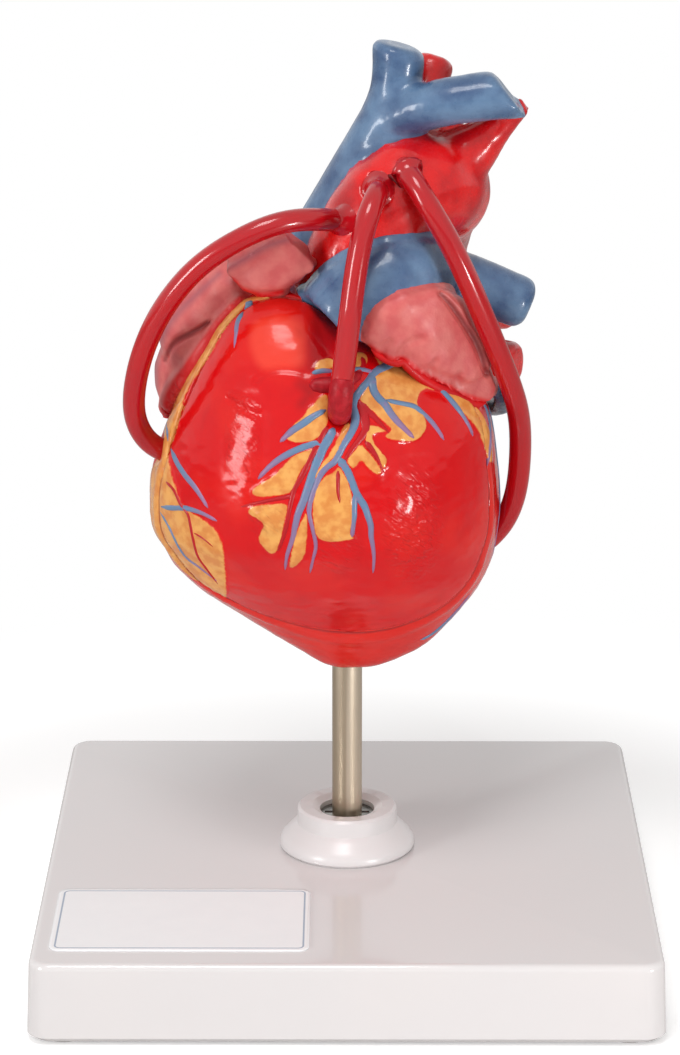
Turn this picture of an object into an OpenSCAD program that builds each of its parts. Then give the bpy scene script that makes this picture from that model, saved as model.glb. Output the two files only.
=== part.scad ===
// Human heart anatomy model with three bypass grafts, standing on a rod and a square base.
// Frame: origin in the middle under the stand, +Z up, and -Y the side that faces the viewer.
// The heart is drawn in its own frame, whose origin is on the rod's axis at the heart's lowest point.

/* [Stand] */
// Side of the square base at its foot
base_side = 121; // [112:1:150]
// Height of the base's top face above the table
base_height = 16.4; // [14:0.2:24]
// Wall of the moulded base
base_wall = 2.4; // [1.6:0.2:4]
// Radius of the base's upright corners
base_corner_r = 4; // [3:0.5:9]
// Radius rolled along the base's top edge
base_edge_r = 1.4; // [1:0.2:2.8]
// Slope of the base's sides, as the gain in half width from top to foot
base_draft = 0.5; // [0:0.1:2]
// Thickness of a rib under the base
rib_t = 1.8; // [1.2:0.2:3]
// Diameter of a rubber foot
foot_d = 10; // [6:0.5:12]
// Thickness of a rubber foot
foot_t = 0.6; // [0.4:0.2:2.5]
// Diameter of the rod collar at its foot
collar_d = 27.2; // [24:0.2:36]
// Diameter of the ring on top of the collar
collar_ring_d = 20; // [16:0.5:22]
// Height of the collar above the base
collar_h = 8.7; // [7:0.1:12]
// Diameter of the collar's stem inside the base
stem_d = 11; // [9:0.5:13]
// Outer diameter of the toothed lock washer
washer_d = 10.8; // [9:0.2:12]
// Thickness of the lock washer
washer_t = 0.5; // [0.3:0.1:1]
// Number of teeth on the lock washer
washer_teeth = 6; // [4:1:8]
// Diameter of the steel rod
rod_d = 6; // [5:0.1:6.6]
// Length of the steel rod
rod_length = 72.4; // [66:0.2:110]
// Length of the blank label on the base
label_length = 49.4; // [30:0.2:52]
// Width of the blank label
label_width = 29.6; // [8:0.2:30]
// Thickness of the blank label
label_t = 0.3; // [0.2:0.1:0.6]

/* [Heart casing] */
// Depth of the parting plane in front of the rod's axis
parting_y = 14; // [12:0.2:16]
// Gap between the front wall and the casing at the parting plane
parting_gap = 0.2; // [0.1:0.05:0.4]
// Depth of the blind hole in the socket that takes the rod
socket_depth = 19; // [14:0.5:21]
// Height of the socket's mouth above the heart's lowest point
socket_mouth = 2; // [1:0.5:4]
// Wall of the rod socket
socket_wall = 1.5; // [1:0.1:2]
// Diameter of a locating peg
peg_d = 3; // [2.4:0.1:3.6]
// Length of a peg in its socket
peg_reach = 5; // [4:0.5:6]
// Length of a peg's root in the front wall
peg_root = 4; // [3:0.5:5]
// Wall of a peg's socket
peg_socket_wall = 1; // [0.8:0.1:1.3]

/* [Vessels] */
// Outer diameter of a bypass graft
graft_d = 4.4; // [3.6:0.1:4.8]
// Diameter of the aorta at its arch
aorta_d = 19; // [16:0.5:21]
// Diameter of the pulmonary trunk
pulmonary_d = 17; // [15:0.5:18.5]
// Diameter of the superior vena cava
cava_d = 12; // [10:0.5:13]
// Diameter of the inferior vena cava
lower_cava_d = 12.4; // [10:0.5:14]
// Diameter of a pulmonary vein
lung_vein_d = 10.5; // [8:0.5:12]
// Diameter of the coronary sinus
sinus_d = 5; // [3.5:0.5:6]
// Diameter of the front graft's plug hole in the aorta
plug_hole_d = 5.1; // [5:0.1:5.6]

/* [Valves] */
// Diameter of the tricuspid valve's ring
tricuspid_d = 17; // [14:0.5:18]
// Diameter of the mitral valve's ring
mitral_d = 15; // [12:0.5:16]
// Diameter of the aortic and pulmonary valves
outlet_valve_d = 9.2; // [8.4:0.2:9.6]
// Thickness of a valve leaflet
leaflet_t = 0.9; // [0.7:0.1:1.4]

/* [Hidden] */

glue_gap = 0.15;      // room between pieces that are glued together
running_gap = 0.05;   // radial room for the rod and the pegs
eps = 0.01;           // overshoot of a cut
block = 120;          // side of a cutting block that takes in the whole heart

around = 28;          // points round a ring of the ventricles
vessel_sides = 14;    // points round a great vessel
vein_sides = 10;      // points round a smaller vein
graft_sides = 10;     // points round a graft

red = [0.86, 0.10, 0.09];
blue = [0.27, 0.42, 0.60];
pink = [0.84, 0.38, 0.40];
crimson = [0.68, 0.07, 0.10];
ivory = [0.93, 0.86, 0.78];
white = [0.89, 0.87, 0.87];
steel = [0.72, 0.70, 0.66];
rubber = [0.15, 0.15, 0.16];

collar_floor = 1.5;   // thickness under the rod's foot
boss_floor = 1.3;     // thickness of the base under the collar's stem
boss_wall = 2.4;
rib_lift = 1.5;       // from the base's rim up to the ribs' lower edge
rod_foot_z = foot_t + boss_floor + collar_floor;
heart_z = rod_foot_z + rod_length - socket_depth - socket_mouth;

// ---------------------------------------------------------------- curves and skins

// A point between b and c on the smooth curve through four rows.
function blend(a, b, c, d, t) =
    0.5 * (2 * b + (c - a) * t + (2 * a - 5 * b + 4 * c - d) * t * t + (3 * b - a - 3 * c + d) * t * t * t);
function row_at(rows, i) = rows[max(0, min(len(rows) - 1, i))];
function along(rows, s) =
    let (i = min(floor(s), len(rows) - 2))
    blend(row_at(rows, i - 1), rows[i], rows[i + 1], row_at(rows, i + 2), s - i);
function sampled(rows, steps) = [for (k = [0:steps]) along(rows, k * (len(rows) - 1) / steps)];
function unit(v) = v / norm(v);
function xyz(r) = [r[0], r[1], r[2]];

// Rings of a tube through rows of [x, y, z, radius]; side is a direction that the tube never takes.
function tube_rings(rows, steps, sides, side, grow) =
    let (p = sampled(rows, steps))
    [for (k = [0:steps])
        let (
            t = unit(xyz(p[min(k + 1, steps)] - p[max(k - 1, 0)])),
            u = unit(cross(t, side)),
            v = cross(t, u),
            r = p[k][3] + grow
        )
        [for (j = [0:sides - 1]) xyz(p[k]) + r * (cos(360 * j / sides) * u + sin(360 * j / sides) * v)]];

// The end ring drawn in and pushed out, so that a vessel ends in a soft edge.
function mid(ring) = [for (a = [0:2]) let (m = [for (q = ring) q[a]]) m * [for (q = m) 1] / len(m)];
function drawn_in(ring, share, push) = let (c = mid(ring)) [for (q = ring) c + (q - c) * share + push];

// A solid through two rings, both convex.
module band(a, b) {
    n = len(a);
    hull() polyhedron(
        points = concat(a, b),
        faces = concat(
            [[for (j = [0:n - 1]) j], [for (j = [0:n - 1]) 2 * n - 1 - j]],
            [for (j = [0:n - 1]) [j, n + j, n + (j + 1) % n, (j + 1) % n]]
        )
    );
}
module skin(rings) for (k = [0:len(rings) - 2]) band(rings[k], rings[k + 1]);

// One closed skin of triangles round a row of rings that bends gently.
module tube(rings) {
    n = len(rings[0]);
    last = len(rings) - 1;
    ends = 2;
    polyhedron(
        points = concat([mid(rings[0]), mid(rings[last])], [for (r = rings) each r]),
        faces = concat(
            [for (j = [0:n - 1]) [0, ends + j, ends + (j + 1) % n]],
            [for (j = [0:n - 1]) [1, ends + last * n + (j + 1) % n, ends + last * n + j]],
            [for (k = [0:last - 1], j = [0:n - 1])
                [ends + k * n + j, ends + (k + 1) * n + j, ends + (k + 1) * n + (j + 1) % n]],
            [for (k = [0:last - 1], j = [0:n - 1])
                [ends + k * n + j, ends + (k + 1) * n + (j + 1) % n, ends + k * n + (j + 1) % n]]
        )
    );
}

module vessel(rows, steps, side = [0, 1, 0], grow = 0, soft = 1.2, sides = vessel_sides) {
    rings = tube_rings(rows, steps, sides, side, grow);
    last = rings[steps];
    out = unit(mid(last) - mid(rings[steps - 1]));
    inner = 1 - soft / norm(last[0] - mid(last));
    shoulder = drawn_in(last, (1 + inner) / 2 + 0.06, out * soft * 0.6);
    skin(rings);
    if (soft > 0) {
        band(last, shoulder);
        band(shoulder, drawn_in(last, inner - 0.04, out * soft));
    }
}
module lump(centre, radii, faces = 16) translate(centre) scale(radii) sphere(1, $fn = faces);
module lobe(points, r, faces = 14) hull() for (p = points) translate(p) sphere(r, $fn = faces);
module in_heart() translate([0, 0, heart_z]) children();
module facing_front(at) translate(at) rotate([90, 0, 0]) children();

// ---------------------------------------------------------------- stand

module base_corners(inset, z) {
    half = base_side / 2 - inset - base_corner_r;
    for (x = [-half, half], y = [-half, half]) translate([x, y, z]) children();
}
module base_block() {
    hull() {
        base_corners(0, foot_t + 1) cylinder(r = base_corner_r, h = 1, $fn = 32);
        base_corners(1, foot_t) cylinder(r = base_corner_r, h = 1, $fn = 32);
        base_corners(base_draft, base_height - base_edge_r)
            rotate_extrude($fn = 32) intersection() {
                translate([base_corner_r - base_edge_r, 0]) circle(base_edge_r, $fn = 24);
                square(base_corner_r);
            }
    }
}
foot_inset = base_wall + base_corner_r + 0.5;
foot_at = base_side / 2 - foot_inset;
boss_r = stem_d / 2 + boss_wall;

module base_plate() color(white) difference() {
    base_block();
    difference() {
        cavity = base_side - 2 * (base_draft + base_wall);
        translate([-cavity / 2, -cavity / 2, foot_t - eps])
            cube([cavity, cavity, base_height - base_wall - foot_t + eps]);
        cylinder(r = boss_r, h = base_height, $fn = 48);
        for (x = [-foot_at, foot_at], y = [-foot_at, foot_at])
            translate([x, y, 0]) cylinder(d = foot_d + 1, h = base_height, $fn = 32);
        for (a = [0, 90]) rotate(a) translate([-base_side / 2, -rib_t / 2, foot_t + rib_lift])
            cube([base_side, rib_t, base_height]);
    }
    translate([0, 0, foot_t + boss_floor]) cylinder(d = stem_d + 2 * glue_gap, h = base_height, $fn = 48);
}
module base_feet() color(rubber)
    for (x = [-foot_at, foot_at], y = [-foot_at, foot_at])
        translate([x, y, 0]) cylinder(d = foot_d, h = foot_t, $fn = 32);

label_side_gap = 4;       // from the label to the base's left side
label_front_gap = 6.9;    // from the label to the base's front
washer_z = base_height + collar_h - 2.2;
module rod_collar() color(white) difference() {
    rotate_extrude($fn = 72) union() {
        translate([0, foot_t + boss_floor]) square([stem_d / 2, base_height - foot_t - boss_floor]);
        translate([0, base_height]) polygon([
            [0, 0], [collar_d / 2 - 0.6, 0], [collar_d / 2, 0.6], [collar_d / 2, 1.4],
            [collar_d / 2 - 0.5, 2.4], [collar_ring_d / 2 + 1.1, collar_h - 4.2],
            [collar_ring_d / 2 + 0.15, collar_h - 3.4],
            [collar_ring_d / 2, collar_h - 0.5], [collar_ring_d / 2 - 0.5, collar_h], [0, collar_h]
        ]);
    }
    translate([0, 0, rod_foot_z]) cylinder(d = rod_d + 2 * running_gap, h = base_height + collar_h, $fn = 48);
    translate([0, 0, washer_z]) cylinder(d = washer_d + 2 * glue_gap, h = collar_h, $fn = 48);
    translate([0, 0, base_height + collar_h - 0.8])
        cylinder(d1 = washer_d + 0.6, d2 = washer_d + 3.4, h = 0.8 + eps, $fn = 48);
}
washer_slot = 1.1;    // slot between two teeth
module lock_washer() color(steel) translate([0, 0, washer_z]) linear_extrude(washer_t) difference() {
    circle(d = washer_d, $fn = 48);
    circle(d = rod_d + 2 * running_gap, $fn = 48);
    for (k = [0:washer_teeth - 1]) rotate(k * 360 / washer_teeth)
        translate([0, -washer_slot / 2]) square([washer_d / 2 - 0.9, washer_slot]);
}
module blank_label() color(white)
    translate([label_side_gap - base_side / 2, label_front_gap - base_side / 2, base_height])
        cube([label_length, label_width, label_t]);
module support_rod() color(steel) translate([0, 0, rod_foot_z]) rotate_extrude($fn = 48) polygon([
    [0, 0], [rod_d / 2 - 0.5, 0], [rod_d / 2, 0.5], [rod_d / 2, rod_length - 0.7],
    [rod_d / 2 - 0.7, rod_length], [0, rod_length]
]);

// ---------------------------------------------------------------- ventricles

// Level, left, right and middle X, then front, middle and back Y of the ventricles' outline.
ventricle_levels = [
    [0, -2.6, 3.6, 0.5, -2.2, 0.4, 3.6],
    [2, -6.6, 10, 0.6, -6.2, 0.4, 10.5],
    [5, -11, 15.6, 0.8, -9, 0, 15],
    [8, -15.4, 18.6, 1, -11.4, 0, 18.4],
    [12, -21.4, 22, 1, -14.4, 0, 21.2],
    [16.4, -27.8, 25.3, 1, -18.6, 0, 24],
    [20.5, -32.6, 27.8, 0, -23, 0, 26],
    [28.8, -38.2, 29.8, -2, -29.6, -1, 28],
    [37, -39, 30, -3, -33, -2, 29],
    [45, -37.7, 29.3, -4, -33, -3, 28],
    [53, -34.7, 28, -5, -31.5, -4, 24],
    [58, -33, 26.6, -6, -30, -5, 20],
    [62, -31, 22.6, -8, -28.5, -5, 16],
    [66, -29, 15.5, -9, -26.5, -6, 12],
    [70, -26.5, 5, -11, -24.5, -7, 8],
    [74, -24, -1.5, -12, -22, -8, 4],
    [77.4, -20.5, -4.5, -12.5, -18.5, -9, 0],
    [80, -15.5, -9, -12.3, -13, -9.5, -6]
];
ventricle_steps = 16;

// One ring: four quarters of an oval, each with its own reach from the middle.
function oval(l, grow, front) = [for (j = [0:around - 1])
    let (
        c = cos(360 * j / around),
        s = sin(360 * j / around),
        rx = grow + (c > 0 ? l[2] - l[3] : l[3] - l[1]),
        ry = s > 0 ? grow + l[6] - l[5] : (front > 0 ? front : grow + l[5] - l[4])
    )
    [l[3] + rx * sign(c) * pow(abs(c), 0.92), l[5] + ry * sign(s) * pow(abs(s), 0.92), l[0]]];

module ventricles(grow = 0, front = 0) {
    levels = sampled(ventricle_levels, ventricle_steps);
    rings = [for (l = levels) oval(l, grow, front)];
    skin(rings);
    if (grow > 0) {
        band(rings[ventricle_steps], drawn_in(rings[ventricle_steps], 0.8, [0, 0, grow]));
        band(drawn_in(rings[0], 0.8, [0, 0, -grow]), rings[0]);
    }
}
// The room that the front wall sweeps as it comes off towards the viewer.
module wall_way() intersection() {
    ventricles(0.35, 90);
    translate([-block / 2, -block - parting_y + parting_gap, -block / 10]) cube(block);
}

rv_centre = [-20, -9, 37];
rv_radii = [12.5, 15.5, 19];
lv_centre = [11, -8, 38];
lv_radii = [9.6, 16, 17];
valve_bed_z = 42.5;    // level from which the inlets rise to the valves
valve_roof = 52.5;
tricuspid_at = [-20, -1];
mitral_at = [12.5, 2];
rv_outlet = [[-17, -11, 46, 8.5], [-14.5, -10.5, 57, 6.5], [-12.6, -9, 64, 4], [-12.4, -8.6, 71, 3.8]];
lv_outlet = [[7, -7, 44, 6.5], [3.5, -6.5, 51, 4.6], [1.4, -5.6, 55.5, 3.9], [1, -5.4, 60, 3.7]];
pulmonary_valve_at = [-12.4, -8.8, 65.5];
aortic_valve_at = [1.4, -5.6, 55.5];
valve_ring_h = 2;

module chambers() {
    lump(rv_centre, rv_radii, 16);
    lump(lv_centre, lv_radii, 16);
    for (outlet = [rv_outlet, lv_outlet])
        tube(tube_rings(outlet, len(outlet), vessel_sides, [0, 1, 0], 0));
    for (at = [pulmonary_valve_at, aortic_valve_at]) translate(at - [0, 0, glue_gap])
        cylinder(d = outlet_valve_d + 2 * glue_gap, h = valve_ring_h + 2 * glue_gap, $fn = 28);
    for (v = [[tricuspid_at, tricuspid_d], [mitral_at, mitral_d]]) translate([v[0][0], v[0][1], valve_bed_z])
        cylinder(d = v[1] + 2 * glue_gap, h = valve_roof - valve_bed_z, $fn = 28);
}
// Papillary muscles and muscle ridges stand on the chambers' back walls.
left_muscles = [[[7, 7, 24], [9.5, 1, 33]], [[15, 7, 25], [15.5, 1, 33.5]]];
right_muscle = [[-22, 6, 21], [-20, 0, 31]];
module papillary_muscle(m, foot_r, tip_r) hull() {
    translate(m[0]) sphere(foot_r, $fn = 12);
    translate(m[1]) sphere(tip_r, $fn = 8);
}
// A row of ridges: first X, pitch, Y of the wall, its bow, heights of foot and top, radius and count.
right_ridges = [-30, 4.4, 6.4, 1.1, 29, 44, 1.3, 5];
left_ridges = [5, 3.8, 7.6, 1.4, 34, 43, 1.1, 4];
module ridge_row(r) for (k = [0:r[7] - 1]) {
    bow = abs(k - (r[7] - 1) / 2) * r[3];
    lobe([[r[0] + r[1] * k, r[2] - bow, r[4]], [r[0] + r[1] * k + 1, r[2] - bow, r[5]]], r[6], 6);
}

// X and height of each peg in the parting plane.
peg_places = [[0.5, 21], [-3.2, 41], [-22, 64], [19, 57.6]];

module behind_parting() translate([-block / 2, parting_gap / 2 - parting_y, -block / 10]) cube(block);
module before_parting()
    translate([-block / 2, -block - parting_gap / 2 - parting_y, -block / 10]) cube(block);

module rear_casing() color(red) in_heart() difference() {
    intersection() {
        ventricles();
        behind_parting();
    }
    difference() {
        chambers();
        for (m = left_muscles) papillary_muscle(m, 3.6, 1.7);
        papillary_muscle(right_muscle, 3.8, 1.7);
        ridge_row(right_ridges);
        ridge_row(left_ridges);
    }
    translate([0, 0, -2]) cylinder(d = rod_d + 0.6, h = socket_mouth + 3, $fn = 24);
    translate([0, 0, socket_mouth - glue_gap]) cylinder(
        d = rod_d + 2 * (socket_wall + glue_gap), h = socket_depth + socket_wall + 2 * glue_gap, $fn = 24
    );
    for (p = peg_places) facing_front([p[0], peg_hole_end, p[1]])
        cylinder(d = peg_d + 2 * peg_socket_wall + 2 * glue_gap, h = 20, $fn = 16);
    graft(right_graft_path, 2 * glue_gap);
    graft(left_graft_path, 2 * glue_gap);
}
peg_hole_end = peg_reach + 1.2 - parting_y;

module front_wall() color(red) in_heart() difference() {
    intersection() {
        ventricles();
        before_parting();
    }
    chambers();
    for (p = peg_places) facing_front([p[0], -parting_y + 1, p[1]])
        cylinder(d = peg_d + 2 * glue_gap, h = peg_root + 1 + glue_gap, $fn = 16);
    graft(front_graft_path, 2 * glue_gap);
}
module wall_pegs() color(ivory) in_heart()
    for (p = peg_places) facing_front([p[0], peg_reach - parting_y, p[1]]) rotate_extrude($fn = 32) polygon([
        [0, 0], [peg_d / 2 - 0.5, 0], [peg_d / 2, 0.8],
        [peg_d / 2, peg_reach + peg_root], [0, peg_reach + peg_root]
    ]);
module peg_sockets() color(ivory) in_heart()
    for (p = peg_places) facing_front([p[0], peg_hole_end - glue_gap, p[1]]) {
        depth = peg_reach + 1.2 - parting_gap - glue_gap;
        difference() {
            cylinder(d = peg_d + 2 * peg_socket_wall, h = depth, $fn = 32);
            translate([0, 0, 0.8]) cylinder(d = peg_d + 2 * running_gap, h = depth, $fn = 32);
        }
    }
module rod_socket() color(ivory) in_heart() translate([0, 0, socket_mouth]) difference() {
    cylinder(d = rod_d + 2 * socket_wall, h = socket_depth + socket_wall, $fn = 40);
    translate([0, 0, -eps]) cylinder(d = rod_d + 2 * running_gap, h = socket_depth + eps, $fn = 40);
}

// ---------------------------------------------------------------- grafts

right_graft_path = [
    [2, -8.5, 92.5], [-3, -14.5, 94.2], [-9, -18.8, 95.2], [-15, -21, 94.3], [-22, -21.5, 91],
    [-29, -20, 85.5], [-35, -18, 77.5], [-39, -15, 68.5], [-41, -12, 59.5], [-40.7, -9.5, 53],
    [-38, -8, 48.3], [-33.5, -6.8, 45.8]
];
front_graft_path = [
    [5.7, -9.5, 99.8], [5.7, -13.5, 99.8], [5.5, -17.3, 99.6], [4.2, -20.8, 97.2], [2.6, -22.8, 92],
    [1.4, -23.8, 85], [0.5, -25, 78], [-0.4, -28.4, 71], [-1.1, -30.6, 66], [-1.4, -29.4, 61.8],
    [-1.5, -26.2, 58.8]
];
left_graft_path = [
    [10.8, -8.5, 103.2], [11, -13.5, 103.6], [12.4, -17.2, 102.2], [15.2, -19.6, 98], [19, -20.3, 91.5],
    [23, -19.3, 83], [27, -16.5, 73], [30.4, -12.5, 64], [32.6, -8.6, 57], [33.6, -5.2, 51],
    [33.8, -3, 44.5], [33.4, -1.2, 38], [32.2, 0, 32.8], [30.2, 1.2, 28.6], [27.4, 2, 25.4]
];
graft_side = [1, 0.3, 1];
module graft(path, grow = 0) {
    rows = [for (p = path) concat(p, graft_d / 2)];
    tube(tube_rings(rows, 2 * (len(path) - 1), graft_sides, graft_side, grow));
}
module graft_right() color(crimson) in_heart() graft(right_graft_path);
module graft_front() color(crimson) in_heart() graft(front_graft_path);
module graft_left() color(crimson) in_heart() graft(left_graft_path);

// ---------------------------------------------------------------- great vessels

// Rows of [x, y, z, radius] from a vessel's line and its share of the diameter at each point.
function sized(line, share, d) = [for (k = [0:len(line) - 1]) concat(line[k], share[k] * d / 2)];

aorta_line = [
    [-3, -3, 76], [0, -5.5, 84], [5.3, -6.5, 92.8], [11.2, -5, 98], [16.4, -1, 98],
    [18, 5, 95.4], [17.2, 12.5, 91], [16.4, 20, 84], [16, 25.5, 76.5], [15.6, 28.6, 69.5]
];
aorta_path = sized(aorta_line, [0.84, 0.91, 1.01, 1.08, 1.08, 1.04, 0.92, 0.84, 0.79, 0.77], aorta_d);
trunk_line = [[12, 1, 101], [14, 4.5, 111], [15.8, 7.3, 117.4], [16.6, 8.3, 120]];
trunk_path = sized(trunk_line, [0.48, 0.44, 0.42, 0.42], aorta_d);
carotid_line = [[16, 6, 100], [19, 10, 108], [21, 12, 113.5]];
carotid_path = sized(carotid_line, [0.4, 0.36, 0.36], aorta_d);
subclavian_line = [[15, 0, 98.5], [21, -0.5, 102.5], [26.5, -1, 107.4], [30.3, -2, 111], [33.2, -3, 113.6]];
subclavian_path = sized(subclavian_line, [1, 0.74, 0.42, 0.27, 0.18], aorta_d);

module aorta_form(grow = 0) {
    vessel(aorta_path, 15, [0.25, 0.5, -0.1], grow);
    vessel(trunk_path, 4, [1, 0, 0], grow);
    vessel(carotid_path, 3, [1, 0, 0], grow, 0.8);
    vessel(subclavian_path, 5, [0, 1, 0], grow, 0.8);
}

cava_line = [
    [-11, 8, 74], [-7.5, 6, 82], [-2.8, 4, 90], [1.6, 2, 98], [6, 0, 106],
    [8.7, -0.5, 113], [9.5, -0.5, 119], [9.7, -0.5, 125]
];
cava_path = sized(cava_line, [1.08, 1.06, 1.06, 1.06, 1.05, 0.92, 0.82, 0.84], cava_d);
left_vein_line = [[8, -1, 110.5], [12, -3.5, 113], [18, -6, 115], [27, -6.5, 116.4], [36, -6, 117]];
left_vein_path = sized(left_vein_line, [0.86, 0.82, 0.77, 0.79, 0.8], cava_d);
left_vein_end = [30.2, 0, 117.2];  // middle of the vein's slanted end
left_vein_slope = 38;              // slope of that end in degrees
module cava_form(grow = 0) {
    vessel(cava_path, 12, [0, 1, 0], grow);
    difference() {
        vessel(left_vein_path, 7, [0, 1, 0], grow, 0);
        translate(left_vein_end) rotate([0, -left_vein_slope, 0])
            translate([grow, -block / 2, -block / 2]) cube(block);
    }
}

pulmonary_line = [
    [-6, -9, 63], [-4, -12, 69.5], [0, -13, 76.6], [5.4, -13, 81.8],
    [11, -11, 83.6], [15.4, -5, 82], [16, 4, 79.4]
];
pulmonary_path = sized(pulmonary_line, [1.1, 1.1, 1.05, 1.01, 1, 0.93, 0.85], pulmonary_d);
left_lung_line = [[11, 2, 80.4], [20, 1.5, 79.4], [27.2, 1.5, 77], [33.8, 1, 74.4]];
left_lung_path = sized(left_lung_line, [0.75, 0.68, 0.63, 0.6], pulmonary_d);
right_lung_line = [[14, 5, 79], [4, 12.5, 79.5], [-6, 17, 79.5], [-13, 19, 79], [-19, 19.5, 78]];
right_lung_path = sized(right_lung_line, [0.74, 0.7, 0.68, 0.68, 0.68], pulmonary_d);
module pulmonary_form(grow = 0) {
    vessel(pulmonary_path, 12, [0.3, 0.5, -0.9], grow);
    vessel(left_lung_path, 5, [0, 1, 0], grow, 1.8);
    vessel(right_lung_path, 6, [0, 0, 1], grow);
}

lower_cava_line = [[-17, 15, 62], [-18.5, 20, 56], [-20.5, 25.5, 50], [-21.5, 28, 45]];
lower_cava_path = sized(lower_cava_line, [1, 1, 1, 1.03], lower_cava_d);
lung_vein_lines = [
    [[18, 12, 62], [26, 8.5, 60.8], [31.8, 5.5, 60]],
    [[20, 19, 68], [27, 23, 68.5], [31.5, 25.5, 68.5]],
    [[-2, 24, 70], [-8, 28, 71], [-13, 31, 71.5]],
    [[-2, 24, 60], [-8, 28.5, 59], [-12, 31.5, 58.5]]
];
lung_vein_share = [1, 1, 1.06];
sinus_line = [
    [28.6, -7, 60], [30.6, 0, 54.5], [28.6, 9, 51.5], [22, 17.5, 51], [12, 23, 52],
    [1, 25.2, 53], [-8, 24, 54], [-13, 21.5, 55]
];
sinus_path = sized(sinus_line, [0.6, 0.72, 0.85, 0.95, 1, 1.05, 1, 0.95], sinus_d);

module lung_vein_form(grow = 0)
    for (line = lung_vein_lines)
        vessel(sized(line, lung_vein_share, lung_vein_d), 3, [0, 0.2, 1], grow, sides = vein_sides);
module sinus_form(grow = 0) vessel(sinus_path, 11, [0, 0, 1], grow, 0.8, vein_sides);

module vessels_before_atria(grow) {
    aorta_form(grow);
    pulmonary_form(grow);
    cava_form(grow);
}
module aorta() color(red) in_heart() difference() {
    aorta_form();
    ventricles(glue_gap);
    pulmonary_form(glue_gap);
    cava_form(glue_gap);
    graft(right_graft_path, 2 * glue_gap);
    graft(left_graft_path, 2 * glue_gap);
    facing_front(front_graft_path[0] + [0, 2 * glue_gap, 0]) cylinder(d = plug_hole_d, h = aorta_d, $fn = 24);
}
module superior_vena_cava() color(blue) in_heart() difference() {
    cava_form();
    ventricles(glue_gap);
}
module pulmonary_artery() color(blue) in_heart() difference() {
    pulmonary_form();
    ventricles(glue_gap);
    cava_form(glue_gap);
    wall_way();
}
module inferior_vena_cava() color(blue) in_heart() difference() {
    vessel(lower_cava_path, 4, [1, 0, 0]);
    ventricles(glue_gap);
    right_atrium_form(glue_gap);
    sinus_form(glue_gap);
}
module pulmonary_veins() color(red) in_heart() difference() {
    lung_vein_form();
    left_atrium_form(glue_gap);
    ventricles(glue_gap);
    aorta_form(glue_gap);
    pulmonary_form(glue_gap);
    sinus_form(glue_gap);
}
module coronary_sinus() color(blue) in_heart() difference() {
    sinus_form();
    ventricles(glue_gap);
    right_atrium_form(glue_gap);
    wall_way();
}

// ---------------------------------------------------------------- atria

// Centre and radii of the lumps that each atrium's wall is drawn round.
right_atrium_lumps = [
    [[-14.5, 10, 66], [14, 13, 15]], [[-28.2, 2.5, 59.5], [9.8, 11, 11.5]], [[-21, -2, 74.5], [8.5, 9, 8.5]]
];
left_atrium_lumps = [
    [[6, 18, 66], [15, 11.5, 13]], [[20, 11, 63], [9, 9.5, 9.5]], [[19.6, -2, 65], [6, 8, 7.5]]
];
module drawn_round(lumps, grow) hull() for (l = lumps) lump(l[0], l[1] + [grow, grow, grow]);
module right_atrium_form(grow = 0) drawn_round(right_atrium_lumps, grow);
module left_atrium_form(grow = 0) drawn_round(left_atrium_lumps, grow);
module right_atrium() color(pink) in_heart() difference() {
    right_atrium_form();
    ventricles(glue_gap);
    vessels_before_atria(glue_gap);
    wall_way();
}
module left_atrium() color(pink) in_heart() difference() {
    left_atrium_form();
    ventricles(glue_gap);
    vessels_before_atria(glue_gap);
    right_atrium_form(glue_gap);
    sinus_form(glue_gap);
}
// Ear-shaped flap: a fan of soft wedges from its middle to points [x, y, z, radius] round its edge.
module ear(edge, middle) for (k = [0:len(edge) - 1]) {
    a = edge[k];
    b = edge[(k + 1) % len(edge)];
    hull() {
        for (p = [a, b, middle]) translate(xyz(p)) sphere(p[3], $fn = 10);
    }
}
right_auricle_edge = [
    [-9.2, -13.5, 87.4, 2.4], [-9.8, -13.4, 84, 2.2], [-13, -13.5, 82.4, 2.4], [-17, -13, 82.2, 2.4],
    [-20.4, -12, 84, 2.4], [-20.6, -11.5, 87, 2.4], [-16, -12, 90, 2.4], [-12.6, -12.5, 90, 2.4]
];
right_auricle_middle = [-14.8, -10.5, 85.8, 5];
left_auricle_edge = [
    [4.6, -21, 74, 2.3], [6.6, -21.3, 77.4, 2.3], [10.4, -21, 79.8, 2.3], [16, -18.6, 80.4, 2.3],
    [20.4, -15, 77.4, 2.4], [23.6, -12.6, 71, 2.4], [25.6, -11.6, 65.6, 2.2], [23, -14, 64.4, 2.2],
    [19.4, -16.6, 66.6, 2.4], [14.6, -19, 68.8, 2.4], [11.2, -20, 71.2, 2], [7.4, -20.6, 70.8, 2.2]
];
left_auricle_middle = [14.6, -16.4, 73.8, 6];
module right_auricle() color(pink) in_heart() difference() {
    ear(right_auricle_edge, right_auricle_middle);
    ventricles(glue_gap);
    vessels_before_atria(glue_gap);
    right_atrium_form(glue_gap);
    graft(right_graft_path, 2 * glue_gap);
    wall_way();
}
module left_auricle() color(pink) in_heart() difference() {
    ear(left_auricle_edge, left_auricle_middle);
    ventricles(glue_gap);
    vessels_before_atria(glue_gap);
    left_atrium_form(glue_gap);
    graft(left_graft_path, 2 * glue_gap);
    lung_vein_form(glue_gap);
    sinus_form(glue_gap);
    wall_way();
}

// ---------------------------------------------------------------- valves

valve_band_w = 2;      // width of the band that a valve's leaflets hang from
valve_band_h = 1.6;
leaflet_lean = 0.6;    // how far a leaflet leans in over each of its halves
leaflet_slit = 1;
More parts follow.
